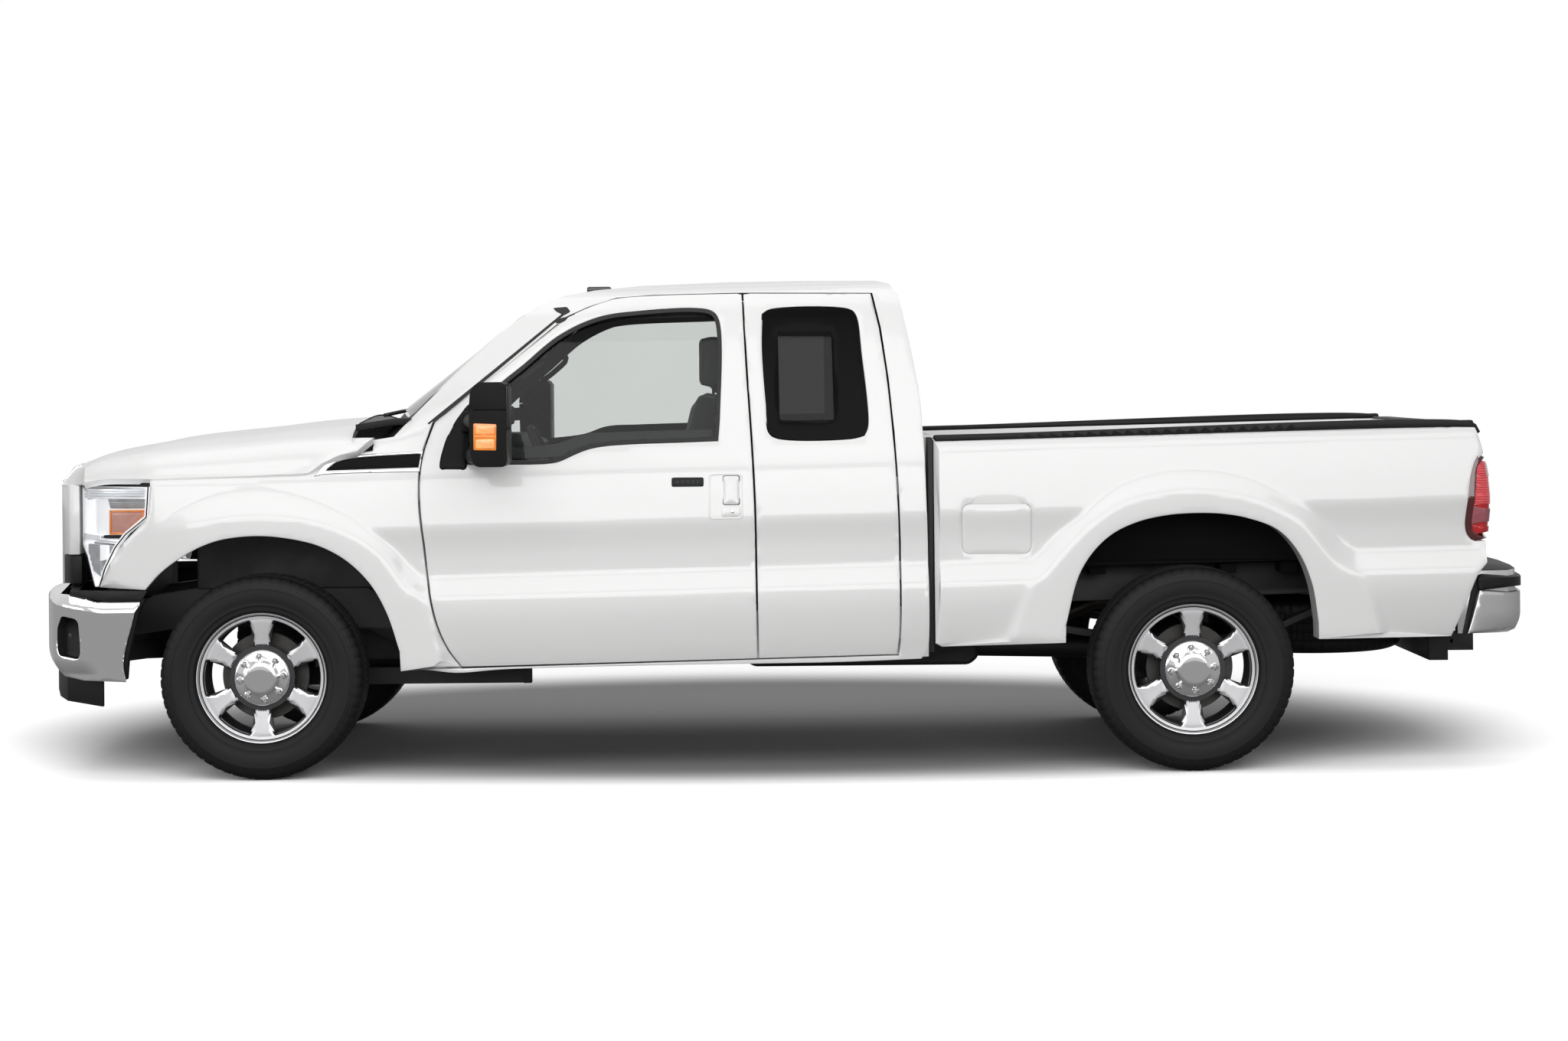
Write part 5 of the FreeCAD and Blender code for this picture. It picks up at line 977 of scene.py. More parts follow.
CLEAR_PANE = ringed(mm([(2012, 1372), (2222, 1372), (2218, 1716), (2008, 1718)]), 0.008)
FLAT = dict(step=0.05, lip=0.001, drop=0)
for h, w in HANDS:
    body = "front_door_" + w
    layer("front_pane_" + w, grown(FRONT_WINDOW, 0.006), [], cab_y, -0.016, 0.005, h, "clear_glass",
          node="front_door_glass_" + w, body=body, **FLAT)
    layer("front_seal_" + w, grown(FRONT_WINDOW, -0.0008), [grown(FRONT_WINDOW, -0.017)], cab_y, -0.0015, 0.0585, h,
          "rubber", body=body, step=0.03, lip=0.003, drop=0.002)
    body = "rear_door_" + w
    layer("rear_border_" + w, grown(REAR_WINDOW, -0.0025), [CLEAR_PANE], cab_y, -0.003, 0.006, h, "gloss_black",
          body=body, step=0.03, lip=0.003, drop=0.0015)
    layer("rear_pane_" + w, grown(CLEAR_PANE, 0.003), [], cab_y, -0.0045, 0.004, h, "privacy_glass",
          node="rear_door_glass_" + w, body=body, **FLAT)


# Cab shell: the CAD's own shape with rounded edges, and a smooth outer skin over its sides

def cab_finish(c, n):
    within = abs(c.y) < 0.9
    if n.z < -0.5 and c.z > 1.5:
        return 1
    if n.z < -0.4 and c.z < 0.75:
        return 3
    if n.z > 0.5 and c.z < 0.75 and abs(c.y) < 0.86:
        return 4
    if within and (c.y * n.y < -0.2 or n.x < -0.5 and c.x > 0.3):
        return 2
    if within and n.x > 0.5 and c.x < -1:
        return 4
    return 3 if n.x < -0.5 and c.x < -1.3 else 0


CAB_SIDE = open_line(mm([
    (684, 1384), (700, 1404), (900, 1562), (1177, 1789), (1200, 1806), (1263, 1834), (1372, 1862), (1512, 1876),
    (1870, 1884), (2414, 1893), (2440, 1888), (2462, 1874), (2480, 1852), (2494, 1820), (2505, 1766), (2520, 1691),
    (2538, 1593), (2552, 1502), (2561, 1426), (2565, 1343), (2568, 1275), (2574, 1049), (2577, 922), (2579, 854),
    (2579, 500), (2574, 476), (2550, 446), (2233, 436), (1921, 433), (1652, 431), (940, 420), (750, 408), (640, 420),
    (560, 424)]), 0.03, 45)
shell = refined("cab_shell", 0.005, 32, 2, ["body_paint", "head_cloth", "trim_grey", "chassis_paint", "dash_plastic"])
for p in shell.data.polygons:
    p.material_index = cab_finish(p.center, p.normal)
for h, w in HANDS:
    # The fixed skin round the doors: sill, rear quarter, roof edge and windscreen pillar
    line = grown(DOOR_LINE + REAR_DOOR_LINE + open_line(xz(DOOR_TOP)), 0.008)
    sill = line[len(DOOR_LINE) - 1]
    corner = [(sill[0] - 0.026, CAB_SIDE[-1][1]), (sill[0] + 0.004, sill[1])]
    layer("cab_side_" + w, CAB_SIDE + corner + line[len(DOOR_LINE):] + line[:1], [], cab_y, 0.0022, 0.0062, h,
          "body_paint", step=0.022, drop=0.002)


# Pieces that wrap round a corner, drawn along a line seen from above

def plan_curve(points):
    """A smooth line seen from above, in millimetres from the front axle, with its outward normals."""
    p = np.array(open_line(mm(points), 0.006, 100))
    s = np.concatenate([[0], np.cumsum(np.linalg.norm(np.diff(p, axis=0), axis=1))])
    t = np.gradient(p, axis=0)
    t /= np.linalg.norm(t, axis=1)[:, None]
    return s, p, np.stack([-t[:, 1], t[:, 0]], 1)


def on_curve(curve, points):
    """Turns points of a side view, in millimetres, into lengths along the curve and heights."""
    return [(float(np.interp(x, curve[1][:, 0], curve[0])), z) for x, z in mm(points)]


def wrapped(curve, outer, holes=(), off=0, depth=0.004, hand=-1, step=0.012, lip=0.003, drop=0.001, bend=None):
    """A thick skin over an outline given along a curve seen from above, as a bmesh."""
    fn = off if callable(off) else (lambda a, z: np.full_like(a, off))
    v, f, marks = sheet_data(outer, holes, fn, lambda a, z: fn(a, z) - depth, step=step, lip=lip, drop=drop)
    s, p, n = curve
    x, y = [np.interp(v[:, 0], s, p[:, i]) + np.interp(v[:, 0], s, n[:, i]) * v[:, 1] for i in (0, 1)]
    if bend:
        x, y = bend(x, y, v[:, 2])
    return data_bm(np.stack([x, y * hand, v[:, 2]], 1), f)


def ripple(base, depth, pitch, along=False):
    return lambda a, z: base + depth * np.sin(FULL_TURN * (a if along else z) / pitch)


# Front end

LENS = plan_curve([(-752, 692), (-740, 735), (-722, 795), (-697, 857), (-655, 903), (-600, 932), (-540, 951),
                   (-480, 965), (-427, 976)])
LENS_RING = ringed(on_curve(LENS, [
    (-752, 1138), (-431, 1142), (-440, 1020), (-526, 953), (-568, 903), (-613, 820), (-639, 747), (-661, 747),
    (-678, 801), (-700, 868), (-752, 900)]), 0.006)
LAMP_MATS = ["lamp_lens", "lamp_bowl", "lamp_white", "lamp_grey", "amber", "amber_pale", "black_trim", "body_paint"]
INDICATOR = ringed(on_curve(LENS, [(-593, 1048), (-450, 1050), (-452, 1019), (-527, 954), (-594, 953)]), 0.003)
# What stands behind the lens: finish, side view, distance out from the lens, thickness and grid
LAMP_BACK = [
    (2, [(-752, 1136), (-437, 1138), (-445, 1021), (-530, 956), (-566, 912), (-752, 912)], -0.047, 0.005, 0.012),
    (3, [(-752, 910), (-570, 908), (-618, 820), (-643, 752), (-659, 752), (-681, 803), (-703, 872), (-752, 897)],
     -0.046, 0.005, 0.012),
    (1, [(-748, 1133), (-444, 1134), (-450, 1096), (-700, 1086), (-748, 1090)], ripple(-0.011, 0.0022, 0.0105),
     0.005, 0.0026),
    (3, [(-606, 1092), (-451, 1092), (-452, 1054), (-596, 1054)], ripple(-0.016, 0.001, 0.0062), 0.005, 0.0022)]
LAMP_FRONT = [
    (1, [(-745, 950), (-632, 948), (-632, 938), (-552, 934), (-560, 923), (-745, 919)], -0.006, 0.04, 0.012),
    (6, [(-630, 950), (-540, 951), (-550, 937), (-630, 939)], -0.02, 0.02, 0.012),
    (3, [(-702, 915), (-642, 913), (-642, 790), (-677, 812), (-702, 868)], ripple(-0.012, 0.0018, 0.0115, True),
     0.005, 0.003),
    (2, [(-640, 911), (-610, 911), (-610, 858), (-640, 850)], -0.01, 0.02, 0.012),
    (6, [(-752, 1134), (-434, 1138), (-434, 1153), (-752, 1151)], -0.02, 0.01, 0.012)]
LAMP_SIDE = mm([(-850, 600), (-826, 648), (-808, 684), (-796, 697), (-757, 699), (-757, 600)])


def headlamp(hand):
    inner, face, pale = grown(LENS_RING, -0.0035), grown(LENS_RING, -0.01), grown(INDICATOR, -0.0085)
    parts = [(wrapped(LENS, inner, [], 0, 0.0025, hand), 0),
             (wrapped(LENS, LENS_RING, [inner], -0.002, 0.006, hand), 6),
             (wrapped(LENS, inner, [face], -0.004, 0.044, hand), 2)]

    def plates(table):
        for mat, points, off, depth, step in table:
            line = ringed(on_curve(LENS, points), 0.004)
            parts.append((wrapped(LENS, line, [], off, depth, hand, step), mat))
    plates(LAMP_BACK)
    parts.append((wrapped(LENS, INDICATOR, [pale], -0.005, 0.01, hand), 4))
    parts.append((wrapped(LENS, pale, [], ripple(-0.008, 0.0006, 0.009), 0.008, hand, 0.004), 5))
    plates(LAMP_FRONT)
    # The surround's outer side beside the lamp, white above and black below
    for z0, z1, gap, mat in ((0.863, 1.139, 0, 7), (0.747, 0.861, 0.006, 6)):
        parts.append((prism([(x + gap, hand * (y - gap)) for x, y in LAMP_SIDE], z0, z1, 0.006, "Z"), mat))
    return merge_bm(parts)


def both_hands(make):
    return merge_bm([(make(h), None) for h, w in HANDS])


from_bmesh("headlamp_skins", both_hands(headlamp), LAMP_MATS, node="headlamps")

NOSE_LINE = ([0, 0.6, 0.648, 0.684, 0.697, 0.7], [-0.884, -0.853, -0.829, -0.811, -0.799, -0.775])
CORNER_LINE = ([0.699, 0.735, 0.795, 0.846], [-0.757, -0.742, -0.724, -0.704])


def nose_cap():
    """The painted edge over the grille, a curve from the hood's front row down to the surround."""
    edge_y, edge_x, edge_z = HOOD_EDGE[:, 1], HOOD_EDGE[:, 0], HOOD_EDGE[:, 2]
    t = FULL_TURN / 4 * np.arange(13) / 12
    rows = []
    for y in np.linspace(-0.846, 0.846, 61):
        x1, z1 = np.interp(y, edge_y, edge_x) - 0.004, np.interp(y, edge_y, edge_z) - 0.003
        line, z0 = (NOSE_LINE, 1.136) if abs(y) < CORNER_LINE[0][0] else (CORNER_LINE, 1.143)
        x0 = XF + np.interp(abs(y), *line)
        rows.append(np.stack([x1 + (x0 - x1) * np.sin(t), np.full_like(t, y), z0 + (z1 - z0) * np.cos(t) ** 2.6], 1))
    top = np.array(rows)
    from_bmesh("nose_cap", grid_bm(top, top + np.array([0.006, 0, -0.005])), "body_paint", smooth=50, body="hood",
               slot="body_paint")


grille = refined("grille", 0.007, 30, 3, ["chrome", "body_paint", "black_trim"])
for p in grille.data.polygons:
    if p.center.z > 1.128:
        p.material_index = 1
    elif p.normal.x > 0.5 or p.center.z < 0.86:
        p.material_index = 2
nose_cap()
NODES["grille_mesh"].material_slots[0].material = M["black_trim"]

BUMPER = plan_curve([(-963, -12), (-963, 0), (-961, 200), (-946, 406), (-906, 599), (-853, 801), (-797, 940),
                     (-700, 984), (-616, 998), (-440, 1003)])
FOG_RING = ringed(on_curve(BUMPER, [(-796, 594), (-776, 642), (-717, 631), (-705, 615), (-699, 538), (-698, 499),
                                    (-706, 475), (-787, 488), (-797, 514)]), 0.012, 4)
BUMPER_OPENING = rounded([(0, 0.443), (0.3, 0.443), (0.335, 0.46), (0.335, 0.515), (0.3, 0.53), (0, 0.53)],
                         0.012, 3)
BUMPER_RING = (
    [(0, 0.724)] + on_curve(BUMPER, [(-816, 724), (-762, 722), (-683, 708), (-642, 697), (-469, 695)])
    + open_line(on_curve(BUMPER, [(-455, 696), (-478, 665), (-495, 606), (-518, 522), (-528, 451), (-519, 387)]),
                0.02, 60)[1:]
    + on_curve(BUMPER, [(-626, 391), (-705, 391), (-800, 405), (-860, 413)]) + [(0, 0.416)] + BUMPER_OPENING)
BUMPER_PAD = [(0, 0.722), (0, 0.736)] + on_curve(BUMPER, [
    (-758, 735), (-716, 736), (-634, 736), (-437, 736), (-454, 713), (-466, 697), (-615, 698), (-683, 708),
    (-762, 722)])
BEVEL_LINE = ([-0.963, -0.816, -0.726, -0.609, -0.45], [0.699, 0.696, 0.679, 0.662, 0.664])


def bumper_off(a, z):
    """The bumper's face leans back above its bevel line and curls in at its foot."""
    x = np.interp(a, BUMPER[0], BUMPER[1][:, 0]) - XF
    t = np.clip((z - np.interp(x, *BEVEL_LINE) + 0.004) / 0.034, 0, 1.2)
    t = np.where(t < 0.3, t * t / 0.6, t - 0.15)
    u = np.clip((0.5 - z) / 0.085, 0, 1)
    return -0.03 * t - 0.034 * u * u * np.clip((-0.6 - x) / 0.1, 0.15, 1)


def front_bumper():
    parts = []
    wide = grown(FOG_RING, 0.01)
    for hand, word in HANDS:
        parts += [(wrapped(BUMPER, BUMPER_RING, [FOG_RING], bumper_off, 0.005, hand, 0.007, 0.004, 0.002), 0),
                  (wrapped(BUMPER, wide, [FOG_RING], -0.006, 0.09, hand), 1),
                  (wrapped(BUMPER, wide, [], -0.094, 0.006, hand), 1),
                  (wrapped(BUMPER, BUMPER_PAD, [], -0.033, 0.06, hand), 1)]
    skin = from_bmesh("front_bumper_skin", merge_bm(parts), ["chrome", "black_trim"], smooth=40)
    base = refined("front_bumper", mats=["black_trim"])
    # The solid's front stands back inside the skin
    back = XF - 0.4425
    for v in base.data.vertices:
        if v.co.x < XF - 0.44 and abs(v.co.z - 0.5) < 0.3:
            v.co = (back + (v.co.x - back) * 0.93, v.co.y * 0.96, min(v.co.z, 0.706))
    join("front_bumper_dressed", [skin, base], "front_bumper")


FOG_BODY = [(0, 0), (0, 0.04), (0.004, 0.047), (0.012, 0.05), (0.022, 0.05), (0.024, 0.046), (0.028, 0.046),
            (0.03, 0.05), (0.036, 0.05), (0.038, 0.046), (0.042, 0.046), (0.044, 0.05), (0.06, 0.048), (0.062, 0)]
FOG_GLASS = [(0.0005, 0), (-0.006, 0.012), (-0.005, 0.03), (-0.001, 0.04), (0, 0.0405)]


def fog_lamp(hand):
    lo, hi = sorted((hand * 0.709, hand * 0.833))
    parts = [(box_bm((XF - 0.837, lo, 0.511), (XF - 0.76, hi, 0.626)), 0)]
    for profile, x, finish in ((FOG_BODY, XF - 0.761, 1), (FOG_GLASS, XF - 0.762, 2)):
        v, f = lathe(profile, 40, closed=False)
        parts.append((data_bm(v[:, [1, 0, 2]] + np.array([x, hand * 0.868, 0.56]), f), finish))
    return merge_bm(parts)


front_bumper()
from_bmesh("fog_lamp_skins", both_hands(fog_lamp), ["black_trim", "alloy_dark", "lamp_grey"], node="fog_lamps")

# Rear end

REAR_LINE = plan_curve([(4652, 953), (4740, 944), (4830, 923), (4883, 872), (4906, 790), (4925, 640), (4936, 470)])
REAR_END = REAR_LINE[0][-1]
REAR_SIDE = open_line(on_curve(REAR_LINE, [(4716, 690), (4712, 672), (4692, 600), (4668, 523)]), 0.02, 60)
REAR_BAND = on_curve(REAR_LINE, [(4716, 681), (4722, 688)]) + [(REAR_END, 0.688), (REAR_END, 0.676)]
REAR_CAP = ringed(on_curve(REAR_LINE, [(4712, 690), (4706, 735), (4720, 752)]) + [(REAR_END, 0.752), (REAR_END, 0.69)],
                  0.008)
REAR_EDGE = on_curve(REAR_LINE, [(4648, 523), (4668, 523), (4712, 690), (4722, 745), (4700, 760), (4690, 700)])


def rear_off(a, z):
    u = np.clip((0.6 - z) / 0.08, 0, 1)
    return 0.002 - 0.03 * u * u * np.clip((a - 0.05) / 0.1, 0, 1)


def rear_cap_off(a, z):
    return 0.005 - 0.012 * np.clip((z - 0.735) / 0.017, 0, 1) ** 2


def rear_bumper():
    parts = []
    for h, w in HANDS:
        corner = REAR_SIDE[::-1] + [(REAR_END, 0.69), (REAR_END, 0.524)]
        parts += [(wrapped(REAR_LINE, corner, [], rear_off, 0.004, h, 0.012, 0.004, 0.002), 0),
                  (wrapped(REAR_LINE, REAR_BAND, [], 0.0045, 0.005, h, 0.012, 0.002, 0.0015), 1),
                  (wrapped(REAR_LINE, REAR_CAP, [], rear_cap_off, 0.01, h, 0.012, 0.004, 0.003), 2),
                  (wrapped(REAR_LINE, REAR_EDGE, [], -0.006, 0.05, h), 2)]
    skin = from_bmesh("rear_bumper_corners", merge_bm(parts), ["bumper_face", "chrome", "black_trim"], smooth=40)
    base = refined("rear_bumper", 0.005, mats=["bumper_face", "black_trim"])
    for v in base.data.vertices:
        if abs(v.co.y) > 0.46:
            v.co = (v.co.x - 0.01, v.co.y * 0.984, v.co.z)
    for p in base.data.polygons:
        if p.center.z > 0.7 or p.normal.x < -0.3 or p.normal.z < -0.5:
            p.material_index = 1
    join("rear_bumper_dressed", [skin, base], "rear_bumper")


rear_bumper()

TAIL = plan_curve([(4650, 985), (4700, 985), (4735, 981), (4757, 962), (4764, 930), (4765, 870), (4765, 812)])
TAIL_END = TAIL[0][-1]
TAIL_INNER = TAIL_END - 0.012
TAIL_RING = open_line(on_curve(TAIL, [
    (4728, 1222), (4704, 1199), (4688, 1167), (4676, 1127), (4667, 1064), (4658, 991), (4655, 946), (4663, 910),
    (4681, 889), (4703, 881)]), 0.012, 70)
TAIL_FACE = open_line(on_curve(TAIL, [
    (4734, 1194), (4710, 1170), (4700, 1122), (4692, 1045), (4685, 1000), (4682, 955), (4687, 923), (4705, 907)]),
    0.012, 70)
TAIL_REACH = ([0.882, 0.907, 0.999, 1.063, 1.135, 1.199, 1.223], [4.744, 4.757, 4.764, 4.763, 4.757, 4.746, 4.728])


def tail_bend(x, y, z):
    """Leans the lamp with the body's corner."""
    share = np.clip((x - XF - 4.65) / 0.114, 0, 1) ** 1.5
    side = bed_y(np.full_like(z, XF + 4.7), z) - 0.985
    return x + share * (np.interp(z, *TAIL_REACH) - 4.764), y + side * np.clip((y - 0.8) / 0.15, 0, 1)


def tail_lamp(hand):
    ring = TAIL_RING + [(TAIL_END, 0.881), (TAIL_END, 1.222)]
    face = TAIL_FACE + [(TAIL_INNER, 0.907), (TAIL_INNER, 1.194)]
    parts = [(wrapped(TAIL, ring, [face], 0.001, 0.03, hand, bend=tail_bend), 0),
             (wrapped(TAIL, face, [], -0.006, 0.02, hand, bend=tail_bend), 3)]
    along, height = zip(*TAIL_FACE[::-1])
    for lo, hi, off, finish, step in ((1.02, 1.193, ripple(-0.0025, 0.0016, 0.009), 1, 0.0024),
                                      (0.946, 1.018, -0.0015, 2, 0.01), (0.9075, 0.944, -0.0015, 3, 0.01)):
        first, last = np.interp([lo, hi], height, along)
        line = [(last, hi)] + [p for p in TAIL_FACE if lo < p[1] < hi]
        line += [(first, lo), (TAIL_INNER, lo), (TAIL_INNER, hi)]
        parts.append((wrapped(TAIL, line, [], off, 0.012, hand, step, 0.002, 0.0006, tail_bend), finish))
    white = ringed([(0.104, 1.186), (0.104, 1.128), (0.15, 1.128), (0.15, 1.186)], 0.004)
    parts.append((wrapped(TAIL, white, [], ripple(0.0005, 0.0004, 0.004), 0.006, hand, 0.004, bend=tail_bend), 4))
    return merge_bm(parts)


from_bmesh("tail_lamp_skins", both_hands(tail_lamp), ["red_dark", "red_lens", "red_pale", "red_deep", "white_lens"],
           smooth=40, node="tail_lamps")

# The load floor with its wheel housings: enamel inside the bed, black under it
load_floor = refined("bed_floor", mats=["bed_paint", "liner_plastic"])
for p in load_floor.data.polygons:
    c, n = p.center, p.normal
    to_wheel = (XR - c.x) * n.x + (TYRE - c.z) * n.z > 0.02 and abs(c.y) > 0.64 and abs(c.x - XR) < 0.6
    if n.z < -0.2 or c.z < 0.77 or to_wheel or (n.y * c.y > 0 and abs(n.y) > 0.5 and abs(c.y) > 0.6):
        p.material_index = 1

# Other CAD pieces, their edges rounded. The front seats stand forward on their rails, as photographed

SEAT_SPLIT = XF + 2.2
SEAT_SLIDE = 0.15


def moved(mesh, x=0, z=0, before=FAR):
    for v in mesh.vertices:
        if v.co.x < before:
            v.co = (v.co.x + x, v.co.y, v.co.z + z)


for node, bevel in (("cowl_panel", 0.006), ("wheel_liners", 0.003), ("air_dam", 0.008), ("rail_caps", 0.008),
                    ("engine_and_gearbox", 0.012), ("fuel_tank", 0.014), ("dashboard", 0.016), ("seat_frames", 0.008),
                    ("tailgate", 0.004), ("radiator", 0.004), ("roof_lamps", 0.008), ("frame_rails", 0.003)):
    piece = refined(node, bevel)
    if node == "seat_frames":
        moved(piece.data, -SEAT_SLIDE, 0, SEAT_SPLIT)
    if node == "roof_lamps":
        moved(piece.data, -0.095, -0.014)

# Details on the sides: name, outline, its surface, lift, thickness, finish and edge

BADGE = spline(mm([(207, 1172), (242, 1213), (283, 1237), (336, 1249), (431, 1258), (629, 1269), (617, 1187),
                   (242, 1179)]), 0.012, 40)
BADGE_IN = spline(mm([(250, 1194), (291, 1226), (336, 1239), (431, 1248), (620, 1257), (612, 1203)]), 0.012, 40)


def panel(x0, x1, z0, z1, cut):
    return ringed(mm([(x0, z0), (x1, z0), (x1, z1), (x0, z1)]), cut, 5)


HANDLE_CUP = panel(1741, 1858, 1001, 1163, 0.012)
DOOR_DETAILS = [
    ("handle_frame_", panel(1733, 1866, 993, 1171, 0.018), [HANDLE_CUP], 0.003, 0.004, "body_paint", 0.005, 0.0028),
    ("handle_paddle_", panel(1790, 1852, 1051, 1160, 0.01), [], 0.006, 0.005, "body_paint", 0.005, 0.002),
    ("lock_plate_", panel(1782, 1856, 1004, 1044, 0.014), [], 0.004, 0.003, "body_paint", 0.005, 0.002),
    ("lock_", circle(0.0065, 20, XF + 1.826, 1.024), [], 0.0052, 0.003, "bright", 0.002, 0.001),
    # A dark sheet under the paddle: painted shade in the gap round it
    ("handle_gap_", panel(1788, 1855, 1048, 1162, 0.01), [], 0.0008, 0.002, "trim_grey", 0.001, 0.0005)]
KEYPAD = [("keypad", panel(1591, 1715, 1120, 1156, 0.008), [], 0.003, 0.004, "black_trim", 0.004, 0.002)]
KEYPAD += [("keypad_button_%d" % i, panel(x, x + 14, 1131, 1145, 0.002), [], 0.0042, 0.003, "trim_grey", 0.002, 0.001)
           for i, x in enumerate(range(1607, 1707, 20))]
for h, w in HANDS:
    layer("fender_plate_" + w, BADGE, [BADGE_IN], fender_y, 0.003, 0.005, h, "bright", slot="bright", drop=0.002)
    layer("fender_inlay_" + w, grown(BADGE_IN, -0.0006), [], fender_y, 0.0018, 0.004, h, "gloss_black",
          slot="gloss_black", lip=0.003, drop=0.0015)
    details = [(row[0] + w,) + row[1:] for row in DOOR_DETAILS] + (KEYPAD if h < 0 else [])
    for name, outline, holes, lift, thick, finish, lip, drop in details:
        layer(name, outline, holes, cab_y, lift, thick, h, finish, body="front_door_" + w, slot=finish, lip=lip,
              drop=drop)


# Mirrors

HEAD_OUT, HEAD_IN = 1.319, 1.085
SAIL = ringed(mm([(690, 1193), (800, 1191), (806, 1452), (790, 1440), (748, 1382), (712, 1310), (694, 1240)]), 0.02, 5)
# The head's slabs: side view, how far its two sides stand inside the head's, corner cuts, bevel
HEAD_SLABS = [
    ([(862, 1213), (983, 1213), (984, 1426), (842, 1426), (846, 1260)], 0, [0.035, 0.022, 0.004, 0.004, 0.02], 0.016),
    ([(842, 1429), (984, 1429), (982, 1532), (872, 1532), (848, 1500)], 0, [0.004, 0.004, 0.03, 0.034, 0.02], 0.016),
    ([(852, 1240), (974, 1240), (974, 1510), (860, 1510)], 0.006, 0.02, 0.006)]
# The lamp in its outer side: side view, depth, height, corner cuts, bevel and finish
HEAD_LAMPS = [
    ([(858, 1276), (946, 1274), (948, 1376), (858, 1380)], 0.012, 0.0008, 0.008, 0.004, 1),
    ([(864, 1328), (941, 1327), (941, 1330), (864, 1331)], 0.012, 0.0022, 0.001, 0.001, 3),
    ([(868, 1284), (938, 1284), (938, 1319), (868, 1319)], 0.01, 0.0022, 0.006, 0.003, 3),
    ([(868, 1338), (938, 1338), (938, 1370), (868, 1370)], 0.01, 0.0022, 0.006, 0.003, 3)]


def mirror(hand, word):
    parts = []

    def slab(line, a, b, bevel, finish, segments=4):
        lo, hi = sorted((hand * a, hand * b))
        parts.append((prism(line, lo, hi, bevel, "Y", segments), finish))
    for points, back, cuts, bevel in HEAD_SLABS:
        slab(ringed(mm(points), cuts, 6), HEAD_IN + back, HEAD_OUT - back, bevel, 0)
    for points, depth, height, cuts, bevel, finish in HEAD_LAMPS:
        slab(ringed(mm(points), cuts, 6), HEAD_OUT - depth, HEAD_OUT + height, bevel, finish)
    # The two mirror panes look back
    for z0, z1 in ((1.23, 1.35), (1.362, 1.515)):
        pane = [(XF + x, z) for x, z in ((0.9805, z0), (0.9862, z0), (0.9862, z1), (0.9805, z1))]
        slab(pane, HEAD_IN + 0.018, HEAD_OUT - 0.018, 0.003, 2, 2)
    # Two arms from the sail to the head
    for z in (1.244, 1.376):
        path = [(XF + x, hand * y, z + dz) for x, y, dz in ((0.795, 0.875, 0.002), (0.812, 0.96, 0.003),
                                                            (0.842, 1.11, 0.004), (0.87, 1.16, 0.004))]
        parts.append((data_bm(*tube(curve3(path), 0.0215, 16, 1.35)), 0))
        foot = [(XF + x, z + dz) for x, dz in ((0.775, -0.04), (0.835, -0.04), (0.835, 0.042), (0.775, 0.042))]
        slab(ringed(foot, 0.012, 4), 0.85, 0.915, 0.008, 0, 3)
    body = "front_door_" + word
    from_bmesh("mirror_dressed_" + word, merge_bm(parts), ["mirror_black", "amber", "disc_steel", "amber_bright"],
               smooth=40, body=body, node="mirror_" + word)
    layer("mirror_sail_" + word, SAIL, [], cab_y, 0.006, 0.036, hand, "mirror_black", body=body, slot="black_trim",
          lip=0.008, drop=0.007)


for h, w in HANDS:
    mirror(h, w)


# Upholstery: the CAD's cushions inside a cover that is blown up a little

def coordinates(mesh):
    v = np.zeros(len(mesh.vertices) * 3)
    mesh.vertices.foreach_get("co", v)
    return v.reshape(-1, 3)


def covered(node, voxel, reach):
    """A closed cover round a soft node, blown up by at most reach."""
    mesh = NODES[node].data.copy()
    moved(mesh, -SEAT_SLIDE, 0, SEAT_SPLIT)
    tmp = linked("tmp_cover", mesh)
    r = tmp.modifiers.new("remesh", "REMESH")
    r.mode = "VOXEL"
    r.voxel_size = voxel
    dg = bpy.context.evaluated_depsgraph_get()
    mesh = bpy.data.meshes.new_from_object(tmp.evaluated_get(dg))
    bpy.data.objects.remove(tmp)
    tmp = linked("tmp_cover", mesh)
    last_frame = 20
    v0 = coordinates(mesh)
    c = tmp.modifiers.new("cloth", "CLOTH")
    c.settings.use_pressure = True
    c.settings.uniform_pressure_force = 4
    c.settings.quality = 4
    c.settings.effector_weights.gravity = 0
    c.point_cache.frame_start = 1
    c.point_cache.frame_end = last_frame
    for frame_no in range(1, last_frame + 1):
        bpy.context.scene.frame_set(frame_no)
    dg = bpy.context.evaluated_depsgraph_get()
    d = coordinates(tmp.evaluated_get(dg).to_mesh()) - v0
    size = np.linalg.norm(d, axis=1)[:, None]
    tmp.evaluated_get(dg).to_mesh_clear()
    tmp.modifiers.clear()
    mesh.vertices.foreach_set("co", (v0 + d * np.minimum(1, reach / np.maximum(size, 1e-9))).ravel())
    bpy.context.scene.frame_set(1)
    mesh = mesh.copy()
    bpy.data.objects.remove(tmp)
    mesh.materials.clear()
    mesh.materials.append(M["seat_fabric"])
    place(node + "_cover", mesh, 80, BODY_OF[node], node)


covered("seat_cushions", 0.014, 0.012)
covered("headrests", 0.007, 0.006)


# Cabin trim seen through the windows

def bar(name, points, step, radius, sides, finish):
    new_object(name, *tube(curve3(points, step), radius, sides), finish, slot=finish)


